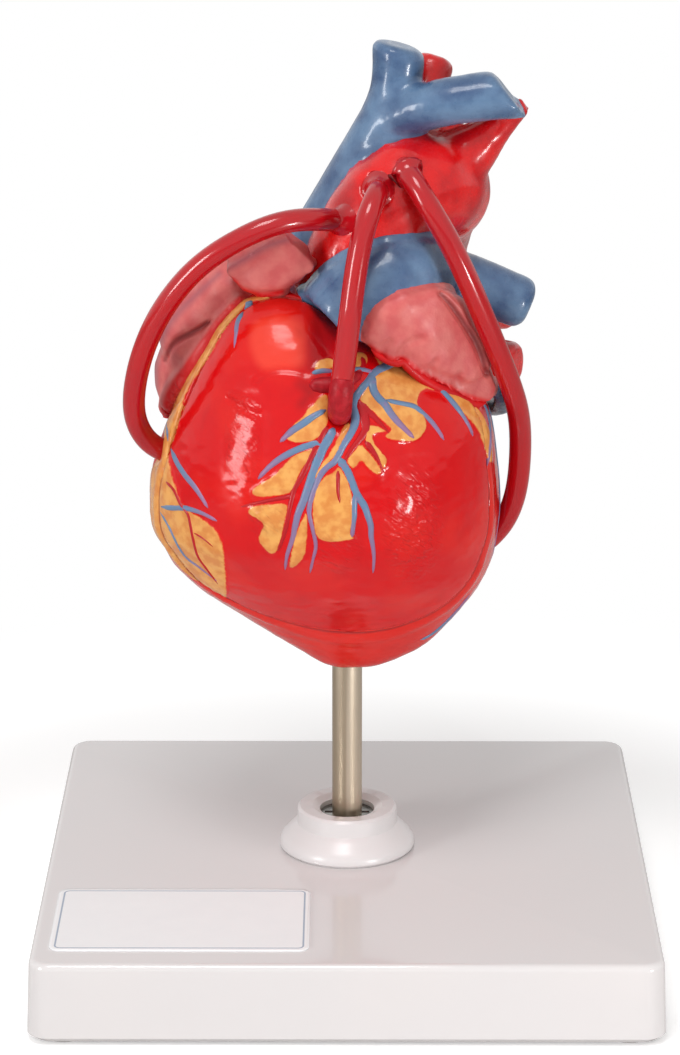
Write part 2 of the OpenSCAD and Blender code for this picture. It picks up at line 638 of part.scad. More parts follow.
// A ring with hanging leaflets, each cut free of the next by a slit.
module hanging_valve(d, leaflets, drop, turn) difference() {
    mouth_r = d / 2 - valve_band_w;
    rotate_extrude($fn = 48) polygon([
        [mouth_r, 0], [mouth_r - leaflet_lean, -valve_band_h], [mouth_r - 2 * leaflet_lean, -drop],
        [mouth_r - 2 * leaflet_lean + leaflet_t, -drop], [d / 2 - valve_band_h, -valve_band_h],
        [d / 2, -valve_band_h], [d / 2, 0]
    ]);
    for (k = [0:leaflets - 1]) rotate(turn + k * 360 / leaflets)
        translate([0, -leaflet_slit / 2, -drop - 1]) cube([d, leaflet_slit, drop - 1.4]);
}
// Pockets of an outlet valve, seen from the chamber as three domes in a ring.
module outlet_valve(d) {
    difference() {
        cylinder(d = d, h = valve_ring_h, $fn = 40);
        translate([0, 0, -eps]) cylinder(d = d - 2 * leaflet_t, h = valve_ring_h + 2 * eps, $fn = 40);
    }
    for (k = [0:2]) rotate(90 + 120 * k) translate([d / 4 - 0.35, 0, valve_ring_h / 2])
        scale([1, 1, 0.7]) sphere(d / 4 - 0.5, $fn = 24);
}
module under_roof(at) translate([at[0], at[1], valve_roof - glue_gap]) children();
module tricuspid_valve() color(ivory) in_heart() under_roof(tricuspid_at)
    hanging_valve(tricuspid_d, 3, 6.5, 30);
module mitral_valve() color(ivory) in_heart() under_roof(mitral_at)
    hanging_valve(mitral_d, 2, 6, 0);
module aortic_valve() color(ivory) in_heart() translate(aortic_valve_at) outlet_valve(outlet_valve_d);
module pulmonary_valve() color(ivory) in_heart() translate(pulmonary_valve_at) outlet_valve(outlet_valve_d);

// ---------------------------------------------------------------- nodes

base_plate();
base_feet();
rod_collar();
lock_washer();
blank_label();
support_rod();
rear_casing();
rod_socket();
peg_sockets();
aorta();
superior_vena_cava();
inferior_vena_cava();
pulmonary_artery();
pulmonary_veins();
coronary_sinus();
right_atrium();
right_auricle();
left_atrium();
left_auricle();
graft_right();
graft_left();
tricuspid_valve();
mitral_valve();
aortic_valve();
pulmonary_valve();
front_wall();
wall_pegs();
graft_front();
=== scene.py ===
"""The finished look of a human heart model with three bypass grafts, on its rod and square base.

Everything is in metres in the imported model's frame, and -Y faces the viewer. The moulded pieces grow
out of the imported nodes: each is sewn together, closed at an even mesh size and eased until its facets
are gone. Veins, arteries and fat are drawn as lines and patches, in the photograph's pixels on the
sides that it shows and in millimetres on the others, and are laid on the eased walls as real relief.
"""

import math

import bmesh
import bpy
import numpy as np
from mathutils import Matrix, Vector, noise
from mathutils.bvhtree import BVHTree


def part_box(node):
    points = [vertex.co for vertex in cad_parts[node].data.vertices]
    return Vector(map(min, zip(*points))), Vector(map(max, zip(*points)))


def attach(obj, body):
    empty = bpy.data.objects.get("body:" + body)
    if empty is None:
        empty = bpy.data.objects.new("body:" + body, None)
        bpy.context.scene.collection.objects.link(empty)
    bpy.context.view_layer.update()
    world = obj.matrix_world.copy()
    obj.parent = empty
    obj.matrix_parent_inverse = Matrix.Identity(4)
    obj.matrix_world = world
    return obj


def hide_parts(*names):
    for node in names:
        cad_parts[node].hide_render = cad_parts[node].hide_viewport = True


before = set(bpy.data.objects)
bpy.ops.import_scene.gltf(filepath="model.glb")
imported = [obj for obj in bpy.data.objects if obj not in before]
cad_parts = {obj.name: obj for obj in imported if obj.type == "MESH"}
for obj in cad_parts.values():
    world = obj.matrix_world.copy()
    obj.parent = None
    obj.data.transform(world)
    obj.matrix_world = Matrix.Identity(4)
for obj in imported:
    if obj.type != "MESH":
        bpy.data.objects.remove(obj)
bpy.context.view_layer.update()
scene = bpy.context.scene
MM = 0.001

# ------------------------------------------------------------------ places

PHOTO_WIDTH, PHOTO_HEIGHT = 680, 1055
FOCAL_PIXELS = 3587.9
CAMERA_AT = (0.000882, -0.677186, 0.295208)
CAMERA_TILT = 0.30266      # below the horizon, in radians
CAMERA_TURN = 0.003421
PIXEL = 0.19 * MM          # size of a pixel at the heart's distance

HEART_LIFT = 0.0548        # height of the heart's own frame
PARTING_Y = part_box("front_wall")[1].y
LAMPS_AIM = (0, 0, 0.11)   # the heart's middle
ORGANS = [
    "front_wall", "rear_casing", "aorta", "superior_vena_cava", "inferior_vena_cava", "pulmonary_artery",
    "pulmonary_veins", "coronary_sinus", "right_atrium", "right_auricle", "left_atrium", "left_auricle",
]

# ------------------------------------------------------------------ finishes


def srgb(red, green, blue):
    """A screen colour, 0 to 255, as the linear colour that a shader takes."""
    parts = [c / 255 for c in (red, green, blue)]
    return tuple(c / 12.92 if c < 0.04045 else ((c + 0.055) / 1.055) ** 2.4 for c in parts) + (1.0,)


RED = srgb(208, 8, 15)
ARTERY_RED = srgb(226, 17, 17)
DEEP_RED = srgb(182, 6, 16)
WARM_RED = srgb(222, 32, 22)
ORANGE_RED = srgb(228, 62, 46)
CRIMSON = srgb(176, 12, 24)
DARK_RED = srgb(122, 8, 18)
BLUE = srgb(98, 128, 161)
DEEP_BLUE = srgb(58, 84, 122)
PURPLE = srgb(150, 106, 144)
PINK = srgb(200, 84, 84)
PALE_PINK = srgb(212, 110, 104)
SHADOW_PURPLE = srgb(140, 78, 92)
FAT = srgb(231, 166, 90)
DEEP_FAT = srgb(216, 136, 68)
CUT_FLESH, CUT_PINK = srgb(226, 160, 140), srgb(234, 190, 168)
IVORY = srgb(236, 214, 192)
FLESH = srgb(204, 78, 70)
BASE_WHITE = srgb(221, 217, 217)
WHITE, BLACK = (1, 1, 1, 1), (0, 0, 0, 1)
CREASE_TURN = math.radians(-38)   # the muscle's fine creases run down to the right


class Finish:
    """A Principled material that is put together node by node."""

    def __init__(self, name, roughness, specular=0.5, metallic=0.0, coat=0.0, coat_roughness=0.08):
        self.material = bpy.data.materials.new(name)
        self.material.use_nodes = True
        self.tree = self.material.node_tree
        self.shader = self.tree.nodes["Principled BSDF"]
        for socket, value in (("Roughness", roughness), ("Specular IOR Level", specular), ("Metallic", metallic),
                              ("Coat Weight", coat), ("Coat Roughness", coat_roughness)):
            self.shader.inputs[socket].default_value = value
        self.place = self.node("ShaderNodeTexCoord").outputs["Object"]

    def node(self, kind, **settings):
        made = self.tree.nodes.new(kind)
        for name, value in settings.items():
            setattr(made, name, value)
        return made

    def feed(self, socket, value):
        """Links value to the socket if it is an output, and otherwise writes it there."""
        if isinstance(value, bpy.types.NodeSocket):
            self.tree.links.new(value, socket)
        else:
            socket.default_value = value

    def noise(self, size, detail=2.0, stretch=(1, 1, 1), turn=0.0):
        """Clouds of about that size in metres; stretch draws them out, after a turn about Y in radians."""
        turned = self.node("ShaderNodeMapping")
        self.feed(turned.inputs["Vector"], self.place)
        turned.inputs["Rotation"].default_value = (0, turn, 0)
        mapping = self.node("ShaderNodeMapping")
        self.feed(mapping.inputs["Vector"], turned.outputs["Vector"])
        mapping.inputs["Scale"].default_value = [1 / (size * s) for s in stretch]
        texture = self.node("ShaderNodeTexNoise")
        self.feed(texture.inputs["Vector"], mapping.outputs["Vector"])
        texture.inputs["Scale"].default_value = 1
        texture.inputs["Detail"].default_value = detail
        return texture.outputs["Fac"]

    def attribute(self, name):
        return self.node("ShaderNodeAttribute", attribute_name=name).outputs["Fac"]

    def ramp(self, value, low, high, start=0.0, end=1.0):
        """A smooth step of value from low to high."""
        slope = self.node("ShaderNodeMapRange", interpolation_type="SMOOTHSTEP")
        for socket, number in zip(slope.inputs, (value, low, high, start, end)):
            self.feed(socket, number)
        return slope.outputs["Result"]

    def reckon(self, first, second, operation="ADD"):
        math_node = self.node("ShaderNodeMath", operation=operation)
        self.feed(math_node.inputs[0], first)
        self.feed(math_node.inputs[1], second)
        return math_node.outputs[0]

    def mix(self, share, first, second):
        blend = self.node("ShaderNodeMix", data_type="RGBA")
        self.feed(blend.inputs["Factor"], share)
        self.feed(blend.inputs["A"], first)
        self.feed(blend.inputs["B"], second)
        return blend.outputs["Result"]

    def bump(self, *layers):
        """Layers of (height, depth in metres) pressed into the surface."""
        normal = None
        for height, depth in layers:
            press = self.node("ShaderNodeBump")
            press.inputs["Strength"].default_value = 1
            press.inputs["Distance"].default_value = depth
            self.feed(press.inputs["Height"], height)
            if normal is not None:
                self.feed(press.inputs["Normal"], normal)
            normal = press.outputs["Normal"]
        self.feed(self.shader.inputs["Normal"], normal)

    def colour(self, value):
        self.feed(self.shader.inputs["Base Color"], value)

    def roughen(self, value):
        self.feed(self.shader.inputs["Roughness"], value)


def clouded(name, roughness, colours, clouds_at, bumps, roughening=None, **gloss):
    """Two colours that cloud into each other over a fine relief.

    Sizes and depths are in millimetres. clouds_at is the clouds' size and detail and the numbers of their
    ramp, roughening is the same with a ramp of roughness, and bumps are (size, detail, depth).
    """
    paint = Finish(name, roughness, **gloss)
    size, detail, *ends = clouds_at
    paint.colour(paint.mix(paint.ramp(paint.noise(size * MM, detail), *ends), *colours))
    if roughening is not None:
        size, detail, *ends = roughening
        paint.roughen(paint.ramp(paint.noise(size * MM, detail), *ends))
    paint.bump(*[(paint.noise(size * MM, detail), depth * MM) for size, detail, depth in bumps])
    return paint.material


def heart_muscle_finish():
    """Painted and lacquered vinyl: red muscle, hand-painted fat, pale chambers and cut faces, with a painted sheen,
    painted shade and a painted seam shadow on the red.
    """
    paint = Finish("heart_muscle_red", 0.2, specular=0.12, coat=0.34, coat_roughness=0.1)
    broad = paint.noise(14 * MM, 2)
    brush = paint.noise(4 * MM, 3, (1, 1, 2.2))
    red = paint.mix(paint.ramp(broad, 0.45, 0.7, 0, 0.6), RED, WARM_RED)
    # Orange-red painted as a sheen over the outflow's bulge, and a lighter red towards the bottom of the casing.
    red = paint.mix(paint.attribute("lighter_red_and_painted_sheen"), red, ORANGE_RED)
    # Dark red painted as shade along the front graft's edge and under a fold.
    red = paint.mix(paint.attribute("shade"), red, DARK_RED)
    red = paint.mix(paint.ramp(brush, 0.5, 0.8, 0, 0.3), red, DEEP_RED)
    fat_tone = paint.noise(2.2 * MM, 4)
    fat = paint.mix(paint.ramp(fat_tone, 0.36, 0.66), DEEP_FAT, FAT)
    wobble = paint.reckon(paint.reckon(paint.noise(0.9 * MM, 3), 0.5, "SUBTRACT"), 0.5 * MM, "MULTIPLY")
    edge = paint.reckon(paint.attribute("fat"), wobble)
    painted = paint.mix(paint.ramp(edge, -0.14 * MM, 0.16 * MM, 1, 0), red, fat)
    # A dark red painted shadow along the seam between the two halves.
    seam_shadow = paint.ramp(paint.attribute("seam_shadow"), 0.1 * MM, 0.4 * MM, 0.6, 0)
    painted = paint.mix(seam_shadow, painted, DARK_RED)
    within = paint.mix(paint.ramp(paint.noise(6 * MM, 3), 0.35, 0.7), CUT_FLESH, CUT_PINK)
    within = paint.mix(paint.ramp(paint.noise(1.6 * MM, 3, (1, 1, 2)), 0.52, 0.74, 0, 0.45), within, FLESH)
    paint.colour(paint.mix(paint.attribute("inside"), painted, within))
    paint.roughen(paint.ramp(paint.noise(2.5 * MM, 3), 0.3, 0.75, 0.17, 0.27))
    creases = paint.ramp(paint.noise(1.15 * MM, 1, (4.5, 1, 1), CREASE_TURN), 0.36, 0.62)
    dents = paint.noise(3 * MM, 2)
    rippled = [paint.reckon(relief, paint.attribute("ripple"), "MULTIPLY") for relief in (creases, dents)]
    paint.bump((paint.noise(5 * MM, 1, (1.5, 1, 0.8)), 0.3 * MM), (paint.noise(0.6 * MM, 2), 0.012 * MM),
               (rippled[0], 0.22 * MM), (rippled[1], 0.5 * MM))
    return paint.material


def vessel_finish(name, colour, deep, roughness=0.3, coat=0.35):
    """Painted vinyl of a great vessel, with faint clouds and a soft gloss."""
    return clouded(
        name, roughness, (colour, deep), (7, 4, 0.35, 0.72), [(2.4, 3, 0.08), (0.35, 2, 0.008)],
        (1.2, 4, 0.3, 0.7, roughness - 0.07, roughness + 0.1), specular=0.3, coat=coat, coat_roughness=0.1)


def atrium_finish():
    """Pink muscle of the atria, streaked with flesh red, with red lines painted on, dark red painted shade in the
    grooves and a purple-brown painted shadow along shaded edges.
    """
    paint = Finish("atrium_pink", 0.46, coat=0.12, coat_roughness=0.3)
    tone = paint.noise(3.2 * MM, 5)
    pink = paint.mix(paint.ramp(tone, 0.3, 0.72), PINK, PALE_PINK)
    streak = paint.ramp(paint.noise(2 * MM, 4, (1, 1, 3)), 0.6, 0.8, 0, 0.3)
    pink = paint.mix(streak, pink, FLESH)
    pink = paint.mix(paint.ramp(paint.attribute("red_paint"), -0.4 * MM, 0.6 * MM, 1, 0), pink, RED)
    # Purple-brown painted shadow along shaded edges.
    pink = paint.mix(paint.ramp(paint.attribute("painted_shadow"), -1.2 * MM, 0.8 * MM, 0.75, 0), pink, SHADOW_PURPLE)
    # Dark red painted as shade in the grooves.
    crease_shade = paint.ramp(paint.attribute("crease_shade_paint"), -0.3 * MM, 0.4 * MM, 0.75, 0)
    paint.colour(paint.mix(crease_shade, pink, DARK_RED))
    paint.bump((paint.noise(1.8 * MM, 3), 0.12 * MM), (paint.noise(0.4 * MM, 3), 0.03 * MM))
    return paint.material


def painted_line_finish(name, root, tip):
    """Brushed paint of a raised surface vessel, which fades to its tip."""
    paint = Finish(name, 0.38, specular=0.3, coat=0.15, coat_roughness=0.15)
    fade = paint.ramp(paint.attribute("along"), 0.35, 1.0)
    mottle = paint.ramp(paint.noise(1.1 * MM, 3), 0.5, 0.78, 0, 0.5)
    paint.colour(paint.mix(mottle, paint.mix(fade, root, tip), tip))
    paint.bump((paint.noise(0.8 * MM, 2), 0.05 * MM))
    return paint.material


def base_finish(name, roughness, coat, coat_roughness):
    """Injection-moulded white plastic, broadly and faintly clouded."""
    return clouded(
        name, roughness, (BASE_WHITE, srgb(228, 221, 219)), (40, 2, 0.4, 0.7, 0, 0.25), [(24, 1, 0.06)],
        (9, 3, 0.3, 0.8, roughness - 0.02, roughness + 0.03), coat=coat, coat_roughness=coat_roughness)


def rod_finish():
    """Nickel-plated steel: the drawing marks run along it, and it was polished across."""
    metal = Finish("rod_nickel", 0.4, metallic=1.0)
    drawn = metal.noise(1.9 * MM, 2, (1, 1, 60))
    marks = metal.noise(0.7 * MM, 3, (8, 8, 0.5))
    metal.colour(metal.mix(metal.ramp(drawn, 0.38, 0.62), srgb(170, 155, 134), srgb(202, 188, 168)))
    metal.roughen(metal.ramp(marks, 0.3, 0.7, 0.37, 0.4))
    return metal.material


def rubber_finish():
    """Mid grey rubber of the feet."""
    rubber = Finish("feet_grey_rubber", 0.7, specular=0.3)
    rubber.colour(rubber.mix(rubber.noise(1 * MM, 3), srgb(150, 147, 146), srgb(176, 173, 172)))
    rubber.bump((rubber.noise(0.4 * MM, 3), 0.03 * MM))
    return rubber.material


def label_finish():
    """Blank film label: white, with a thin grey rule along its edge."""
    film = Finish("label_film", 0.22, coat=0.5, coat_roughness=0.05)
    inset = film.attribute("inset")
    outer_edge, inner_edge = film.ramp(inset, 0.9 * MM, 1.0 * MM), film.ramp(inset, 1.25 * MM, 1.35 * MM, 1, 0)
    rule = film.reckon(outer_edge, inner_edge, "MULTIPLY")
    white = film.mix(film.noise(5 * MM, 2), srgb(240, 240, 242), srgb(245, 245, 246))
    film.colour(film.mix(rule, white, srgb(150, 164, 184)))
    film.bump((film.noise(6 * MM, 1), 0.03 * MM))
    return film.material


# ------------------------------------------------------------------ camera, light and floor


def make_camera():
    """The camera that was fitted to the photograph's base, collar and rod."""
    camera = bpy.data.objects.new("camera", bpy.data.cameras.new("camera"))
    camera.location = CAMERA_AT
    camera.rotation_euler = (math.pi / 2 - CAMERA_TILT, 0, CAMERA_TURN)
    camera.data.sensor_width = 36
    camera.data.lens = FOCAL_PIXELS / PHOTO_HEIGHT * camera.data.sensor_width
    scene.collection.objects.link(camera)
    scene.camera = camera
    bpy.context.view_layer.update()
    return camera


def soft_box(name, at, width, height, power):
    """A rectangular lamp, in metres and watts, that the camera doesn't see."""
    light = bpy.data.lights.new(name, "AREA")
    light.shape, light.size, light.size_y, light.energy = "RECTANGLE", width, height, power
    lamp = bpy.data.objects.new(name, light)
    lamp.location = at
    lamp.visible_camera = False
    lamp.rotation_euler = (Vector(LAMPS_AIM) - Vector(at)).to_track_quat("-Z", "Y").to_euler()
    scene.collection.objects.link(lamp)


def make_light():
    """A white studio: even light from all round, and three soft boxes that draw the highlights."""
    world = bpy.data.worlds.new("studio")
    scene.world = world
    world.use_nodes = True
    tree = world.node_tree
    seen, even = tree.nodes["Background"], tree.nodes.new("ShaderNodeBackground")
    for light, colour, strength in ((seen, WHITE, 1.0), (even, (1, 0.985, 0.97, 1), 0.44)):
        light.inputs["Color"].default_value = colour
        light.inputs["Strength"].default_value = strength
    path, mix = tree.nodes.new("ShaderNodeLightPath"), tree.nodes.new("ShaderNodeMixShader")
    previous = path.outputs["Is Camera Ray"]
    for kind in ("Is Glossy Ray", "Is Transmission Ray"):
        either = tree.nodes.new("ShaderNodeMath")
        either.operation = "MAXIMUM"
        tree.links.new(previous, either.inputs[0])
        tree.links.new(path.outputs[kind], either.inputs[1])
        previous = either.outputs[0]
    tree.links.new(previous, mix.inputs["Fac"])
    tree.links.new(even.outputs[0], mix.inputs[1])
    tree.links.new(seen.outputs[0], mix.inputs[2])
    tree.links.new(mix.outputs[0], tree.nodes["World Output"].inputs["Surface"])
    soft_box("left_box", (-0.48, -0.4, 0.19), 0.11, 0.23, 1.45)
    soft_box("right_box", (0.28, -0.32, 0.045), 0.055, 0.075, 0.62)
    soft_box("top_box", (-0.07, -0.29, 0.66), 0.22, 0.22, 1.55)


def make_floor():
    """Pale paper that keeps the shadow near the object and is white to the camera further out."""
    bm = bmesh.new()
    bmesh.ops.create_grid(bm, x_segments=1, y_segments=1, size=6)
    floor = as_object("floor", bm)
    paper = Finish("floor_paper", 0.9, specular=0.0)
    camera_ray = paper.node("ShaderNodeLightPath").outputs["Is Camera Ray"]
    span = paper.node("ShaderNodeVectorMath", operation="LENGTH")
    paper.feed(span.inputs[0], paper.place)
    far = paper.ramp(span.outputs["Value"], 0.07, 0.2)
    seen = paper.mix(far, WHITE, BLACK)
    paper.colour(paper.mix(camera_ray, srgb(228, 227, 226), seen))
    glow = paper.reckon(paper.ramp(far, 0, 1, 0.3, 1), camera_ray, "MULTIPLY")
    paper.shader.inputs["Emission Color"].default_value = WHITE
    paper.feed(paper.shader.inputs["Emission Strength"], glow)
    floor.data.materials.append(paper.material)


# ------------------------------------------------------------------ mesh tools


def as_object(name, bm):
    """Makes an object of a bmesh, with its place in its mesh."""
    mesh = bpy.data.meshes.new(name)
    bm.to_mesh(mesh)
    bm.free()
    obj = bpy.data.objects.new(name, mesh)
    scene.collection.objects.link(obj)
    return obj


def sewn(*nodes):
    """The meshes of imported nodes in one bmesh, with their loose triangles merged."""
    bm = bmesh.new()
    for node in nodes:
        bm.from_mesh(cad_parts[node].data)
    bmesh.ops.remove_doubles(bm, verts=bm.verts, dist=1e-6)
    return bm


def settle(obj):
    """Applies the object's modifiers to its mesh."""
    made = bpy.data.meshes.new_from_object(obj.evaluated_get(bpy.context.evaluated_depsgraph_get()))
    obj.modifiers.clear()
    rough, obj.data = obj.data, made
    bpy.data.meshes.remove(rough)
    return obj


def closed(obj, size):
    """Draws one even skin round everything in the object."""
    skin = obj.modifiers.new("skin", "REMESH")
    skin.mode, skin.voxel_size = "VOXEL", size
    return settle(obj)


def next_ring(bm, ring):
    """Extrudes the last ring of a tube and returns the points of the new one."""
    edges = {e for v in ring for e in v.link_edges if e.other_vert(v) in ring}
    made = bmesh.ops.extrude_edge_only(bm, edges=list(edges))["geom"]
    return [g for g in made if isinstance(g, bmesh.types.BMVert)]


def outward_object(name, bm):
    """Makes an object of a bmesh, with all of its faces turned outwards."""
    bmesh.ops.recalc_face_normals(bm, faces=bm.faces)
    return as_object(name, bm)


def heading(places, k):
    """The direction of a line at its k-th place."""
    return Vector(places[min(k + 1, len(places) - 1)] - places[max(k - 1, 0)]).normalized()


def subdivided(obj, levels):
    rounder = obj.modifiers.new("rounder", "SUBSURF")
    rounder.levels = rounder.render_levels = levels
    return settle(obj)


def read(collection, name, width=3, kind=np.float32):
    """A property of everything in a mesh's collection, one row each."""
    values = np.empty(len(collection) * width, kind)
    collection.foreach_get(name, values)
    return values.reshape(-1, width).astype(float if kind is np.float32 else kind)


def points_of(obj):
    return read(obj.data.vertices, "co")


def normals_of(obj):
    return read(obj.data.vertex_normals, "vector")


def put_points(obj, points):
    obj.data.vertices.foreach_set("co", points.astype(np.float32).ravel())
    obj.data.update()


def put_attribute(obj, name, values):
    """Stores one number for each point, which a finish reads by that name."""
    layer = obj.data.attributes.new(name, "FLOAT", "POINT")
    layer.data.foreach_set("value", values.astype(np.float32))


def ease(obj, rounds, hold=None, give=0.56):
    """Smooths in pairs of a step in and a step out, so that the form keeps its size."""
    points, edges = points_of(obj), read(obj.data.edges, "vertices", 2, np.int32)
    one, two = edges.T
    count = np.bincount(edges.ravel(), minlength=len(points)).clip(1)[:, None]
    loose = 1.0 if hold is None else (1 - hold)[:, None]
    for share in [0.55, -give] * rounds:
        total = np.stack([
            np.bincount(one, points[two, k], len(points)) + np.bincount(two, points[one, k], len(points))
            for k in range(3)
        ], 1)
        points = points + loose * share * (total / count - points)
    put_points(obj, points)
    return obj


def tree_of(obj):
    mesh = obj.data
    return BVHTree.FromPolygons([v.co for v in mesh.vertices], [p.vertices for p in mesh.polygons])


def step(values, low, high):
    """0 below low, 1 above high and smooth between."""
    t = ((values - low) / (high - low)).clip(0, 1)
    return t * t * (3 - 2 * t)


def below(values, low, high):
    """1 below low, 0 above high and smooth between."""
    return step(-values, -high, -low)


def clouds(points, size):
    """Smooth noise of about that size at each point, from about -1 to 1."""
    return np.array([noise.noise(Vector(p)) for p in points / size]) * 1.4


# ------------------------------------------------------------------ ways to look at the heart


class Sight:
    """A side on which lines are drawn: the photograph, or a flat view in millimetres of the heart's frame."""

    def __init__(self, right, up, back, at=None, unit=MM):
        self.axes = np.array([right, up, back], float)
        self.at = None if at is None else np.array(at, float)
        self.unit = unit

    def seen(self, points):
        """Where points lie in the drawing."""
        if self.at is None:
            return ((points - [0, 0, HEART_LIFT]) @ self.axes.T / MM)[:, :2]
        local = (points - self.at) @ self.axes.T
        return np.stack([
            PHOTO_WIDTH / 2 - FOCAL_PIXELS * local[:, 0] / local[:, 2],
            PHOTO_HEIGHT / 2 + FOCAL_PIXELS * local[:, 1] / local[:, 2],
        ], 1)

    def facing(self, points, normals):
        """1 where a surface faces this side, 0 edge on and -1 turned away."""
        towards = self.axes[2] if self.at is None else (self.at - points)
        towards = towards / np.linalg.norm(towards, axis=-1, keepdims=True)
        return (normals * towards).sum(1)

    def ray(self, spot):
        """The start and direction of the line of sight through a spot of the drawing."""
        if self.at is None:
            start = self.axes[0] * spot[0] * MM + self.axes[1] * spot[1] * MM + self.axes[2] * 0.2
            return Vector(start + [0, 0, HEART_LIFT]), Vector(-self.axes[2])
        across, upward = spot[0] - PHOTO_WIDTH / 2, PHOTO_HEIGHT / 2 - spot[1]
        way = self.axes[0] * across + self.axes[1] * upward - self.axes[2] * FOCAL_PIXELS
        return Vector(self.at), Vector(way).normalized()


camera = make_camera()
right_way, up_way, back_way = np.array(camera.matrix_world.to_3x3()).T
FRONT = Sight(right_way, up_way, back_way, CAMERA_AT, PIXEL)
BEHIND = Sight((-1, 0, 0), (0, 0, 1), (0, 1, 0))
LEFT_SIDE = Sight((0, 1, 0), (0, 0, 1), (1, 0, 0))
RIGHT_SIDE = Sight((0, -1, 0), (0, 0, 1), (-1, 0, 0))


def curve(points, steps, shut=False):
    """A smooth curve through points, with steps places from each to the next."""
    rows = np.array(points, float)
    count = len(rows)
    made = []
    for k in range(count if shut else count - 1):
        a, b, c, d = (rows[i % count if shut else min(max(i, 0), count - 1)] for i in range(k - 1, k + 3))
        for t in np.arange(steps) / steps:
            made.append(0.5 * (2 * b + (c - a) * t + (2 * a - 5 * b + 4 * c - d) * t**2
                               + (3 * b - a - 3 * c + d) * t**3))
    return np.array(made if shut else made + [rows[-1]])


def line_distance(spots, line):
    """Distance of each spot to a polyline, and how far along it the nearest place is, from 0 to 1."""
    best, place = np.full(len(spots), 1e9), np.zeros(len(spots))
    for k in range(len(line) - 1):
        way = line[k + 1] - line[k]
        t = (((spots - line[k]) @ way) / max(way @ way, 1e-12)).clip(0, 1)
        gap = np.linalg.norm(spots - line[k] - t[:, None] * way, axis=1)
        closer = gap < best
        best[closer], place[closer] = gap[closer], ((k + t) / (len(line) - 1))[closer]
    return best, place


def patch_distance(spots, outline):
    """Distance of each spot to a closed outline, below zero inside it."""
    ring = curve(outline, 3, shut=True)
    gap, _ = line_distance(spots, np.vstack([ring, ring[:1]]))
    following = np.roll(ring, -1, axis=0)
    inside = np.zeros(len(spots), bool)
    for a, b in zip(ring, following):
        if a[1] != b[1]:
            level = (a[1] > spots[:, 1]) != (b[1] > spots[:, 1])
            inside ^= level & (spots[:, 0] < (b[0] - a[0]) * (spots[:, 1] - a[1]) / (b[1] - a[1]) + a[0])
    return np.where(inside, -gap, gap)


def widths_at(shares, widths):
    """A line's widths at shares of its way from root to tip."""
    return np.interp(shares, np.linspace(0, 1, len(widths)), widths)


def stroke_distance(spots, stroke):
    """Distance to the edge of a drawn line with its own widths, below zero inside it."""
    widths, points = stroke
    gap, place = line_distance(spots, curve(points, 4))
    return gap - widths_at(place, widths) / 2


# ------------------------------------------------------------------ drawings on the walls

# A line is (widths from root to tip, points) and a patch is its outline. In the drawings of the front all
# of them are places in the photograph, in pixels.
FRONT_VEINS = [
    ((11, 10, 8, 6, 3), [
        (397, 361), (386, 366), (376, 372), (370, 379), (363, 388), (355, 398), (353, 406), (355, 414), (355, 423),
        (350, 434), (344, 444), (339, 454), (334, 462), (326, 468), (319, 478), (314, 490), (311, 500), (309, 512),
        (311, 522), (314, 535), (316, 547), (313, 559), (310, 573)]),
    ((10, 11, 9, 7, 3), [
        (334, 428), (329, 438), (323, 447), (319, 457), (314, 471), (309, 485), (304, 500), (298, 514), (295, 528),
        (292, 541), (287, 555), (285, 570)]),
    ((10, 8, 6, 3), [
        (339, 458), (347, 471), (352, 483), (357, 495), (364, 505), (368, 516), (371, 526), (371, 536), (373, 547),
        (374, 559), (373, 573)]),
    ((7, 7, 4), [(355, 494), (354, 505), (354, 517), (353, 529), (352, 537)]),
    ((10, 9, 8, 5), [
        (372, 374), (372, 384), (376, 395), (385, 404), (390, 412), (397, 421), (405, 429), (414, 438)]),
    ((5, 6, 6, 4), [(386, 400), (400, 403), (414, 406), (422, 412), (431, 421), (438, 430), (444, 440)]),
    ((7, 7, 6, 4), [(440, 388), (447, 395), (455, 405), (463, 416), (469, 426), (473, 436)]),
    ((6, 8, 7, 4), [(326, 410), (314, 416), (304, 423), (293, 430), (286, 436), (280, 442)]),
    ((9, 8, 7, 4), [(322, 445), (312, 444), (302, 448), (290, 453), (278, 460), (267, 469), (258, 479)]),
    ((6, 6, 5), [(312, 373), (322, 371), (333, 371)]),
    ((6, 6, 5), [(350, 371), (358, 369), (366, 370), (373, 372)]),
    ((9, 8, 6, 2), [(252, 301), (243, 312), (237, 323), (236, 335), (234, 348)]),
    ((4, 8, 7, 4), [(166, 420), (169, 441), (175, 459), (184, 474), (194, 486), (202, 498), (208, 508)]),
    ((6, 6, 4), [(157, 506), (170, 508), (184, 508), (196, 511), (206, 515), (217, 521)]),
    ((3, 4, 4, 2), [
        (157, 508), (166, 521), (173, 535), (180, 549), (188, 559), (198, 566), (208, 574), (217, 581)]),
    ((8, 9, 8, 3), [(480, 398), (487, 411), (490, 428), (490, 446), (487, 466)]),
    ((3, 8, 8, 4), [(420, 640), (432, 634), (446, 622), (458, 609), (470, 594)]),
]
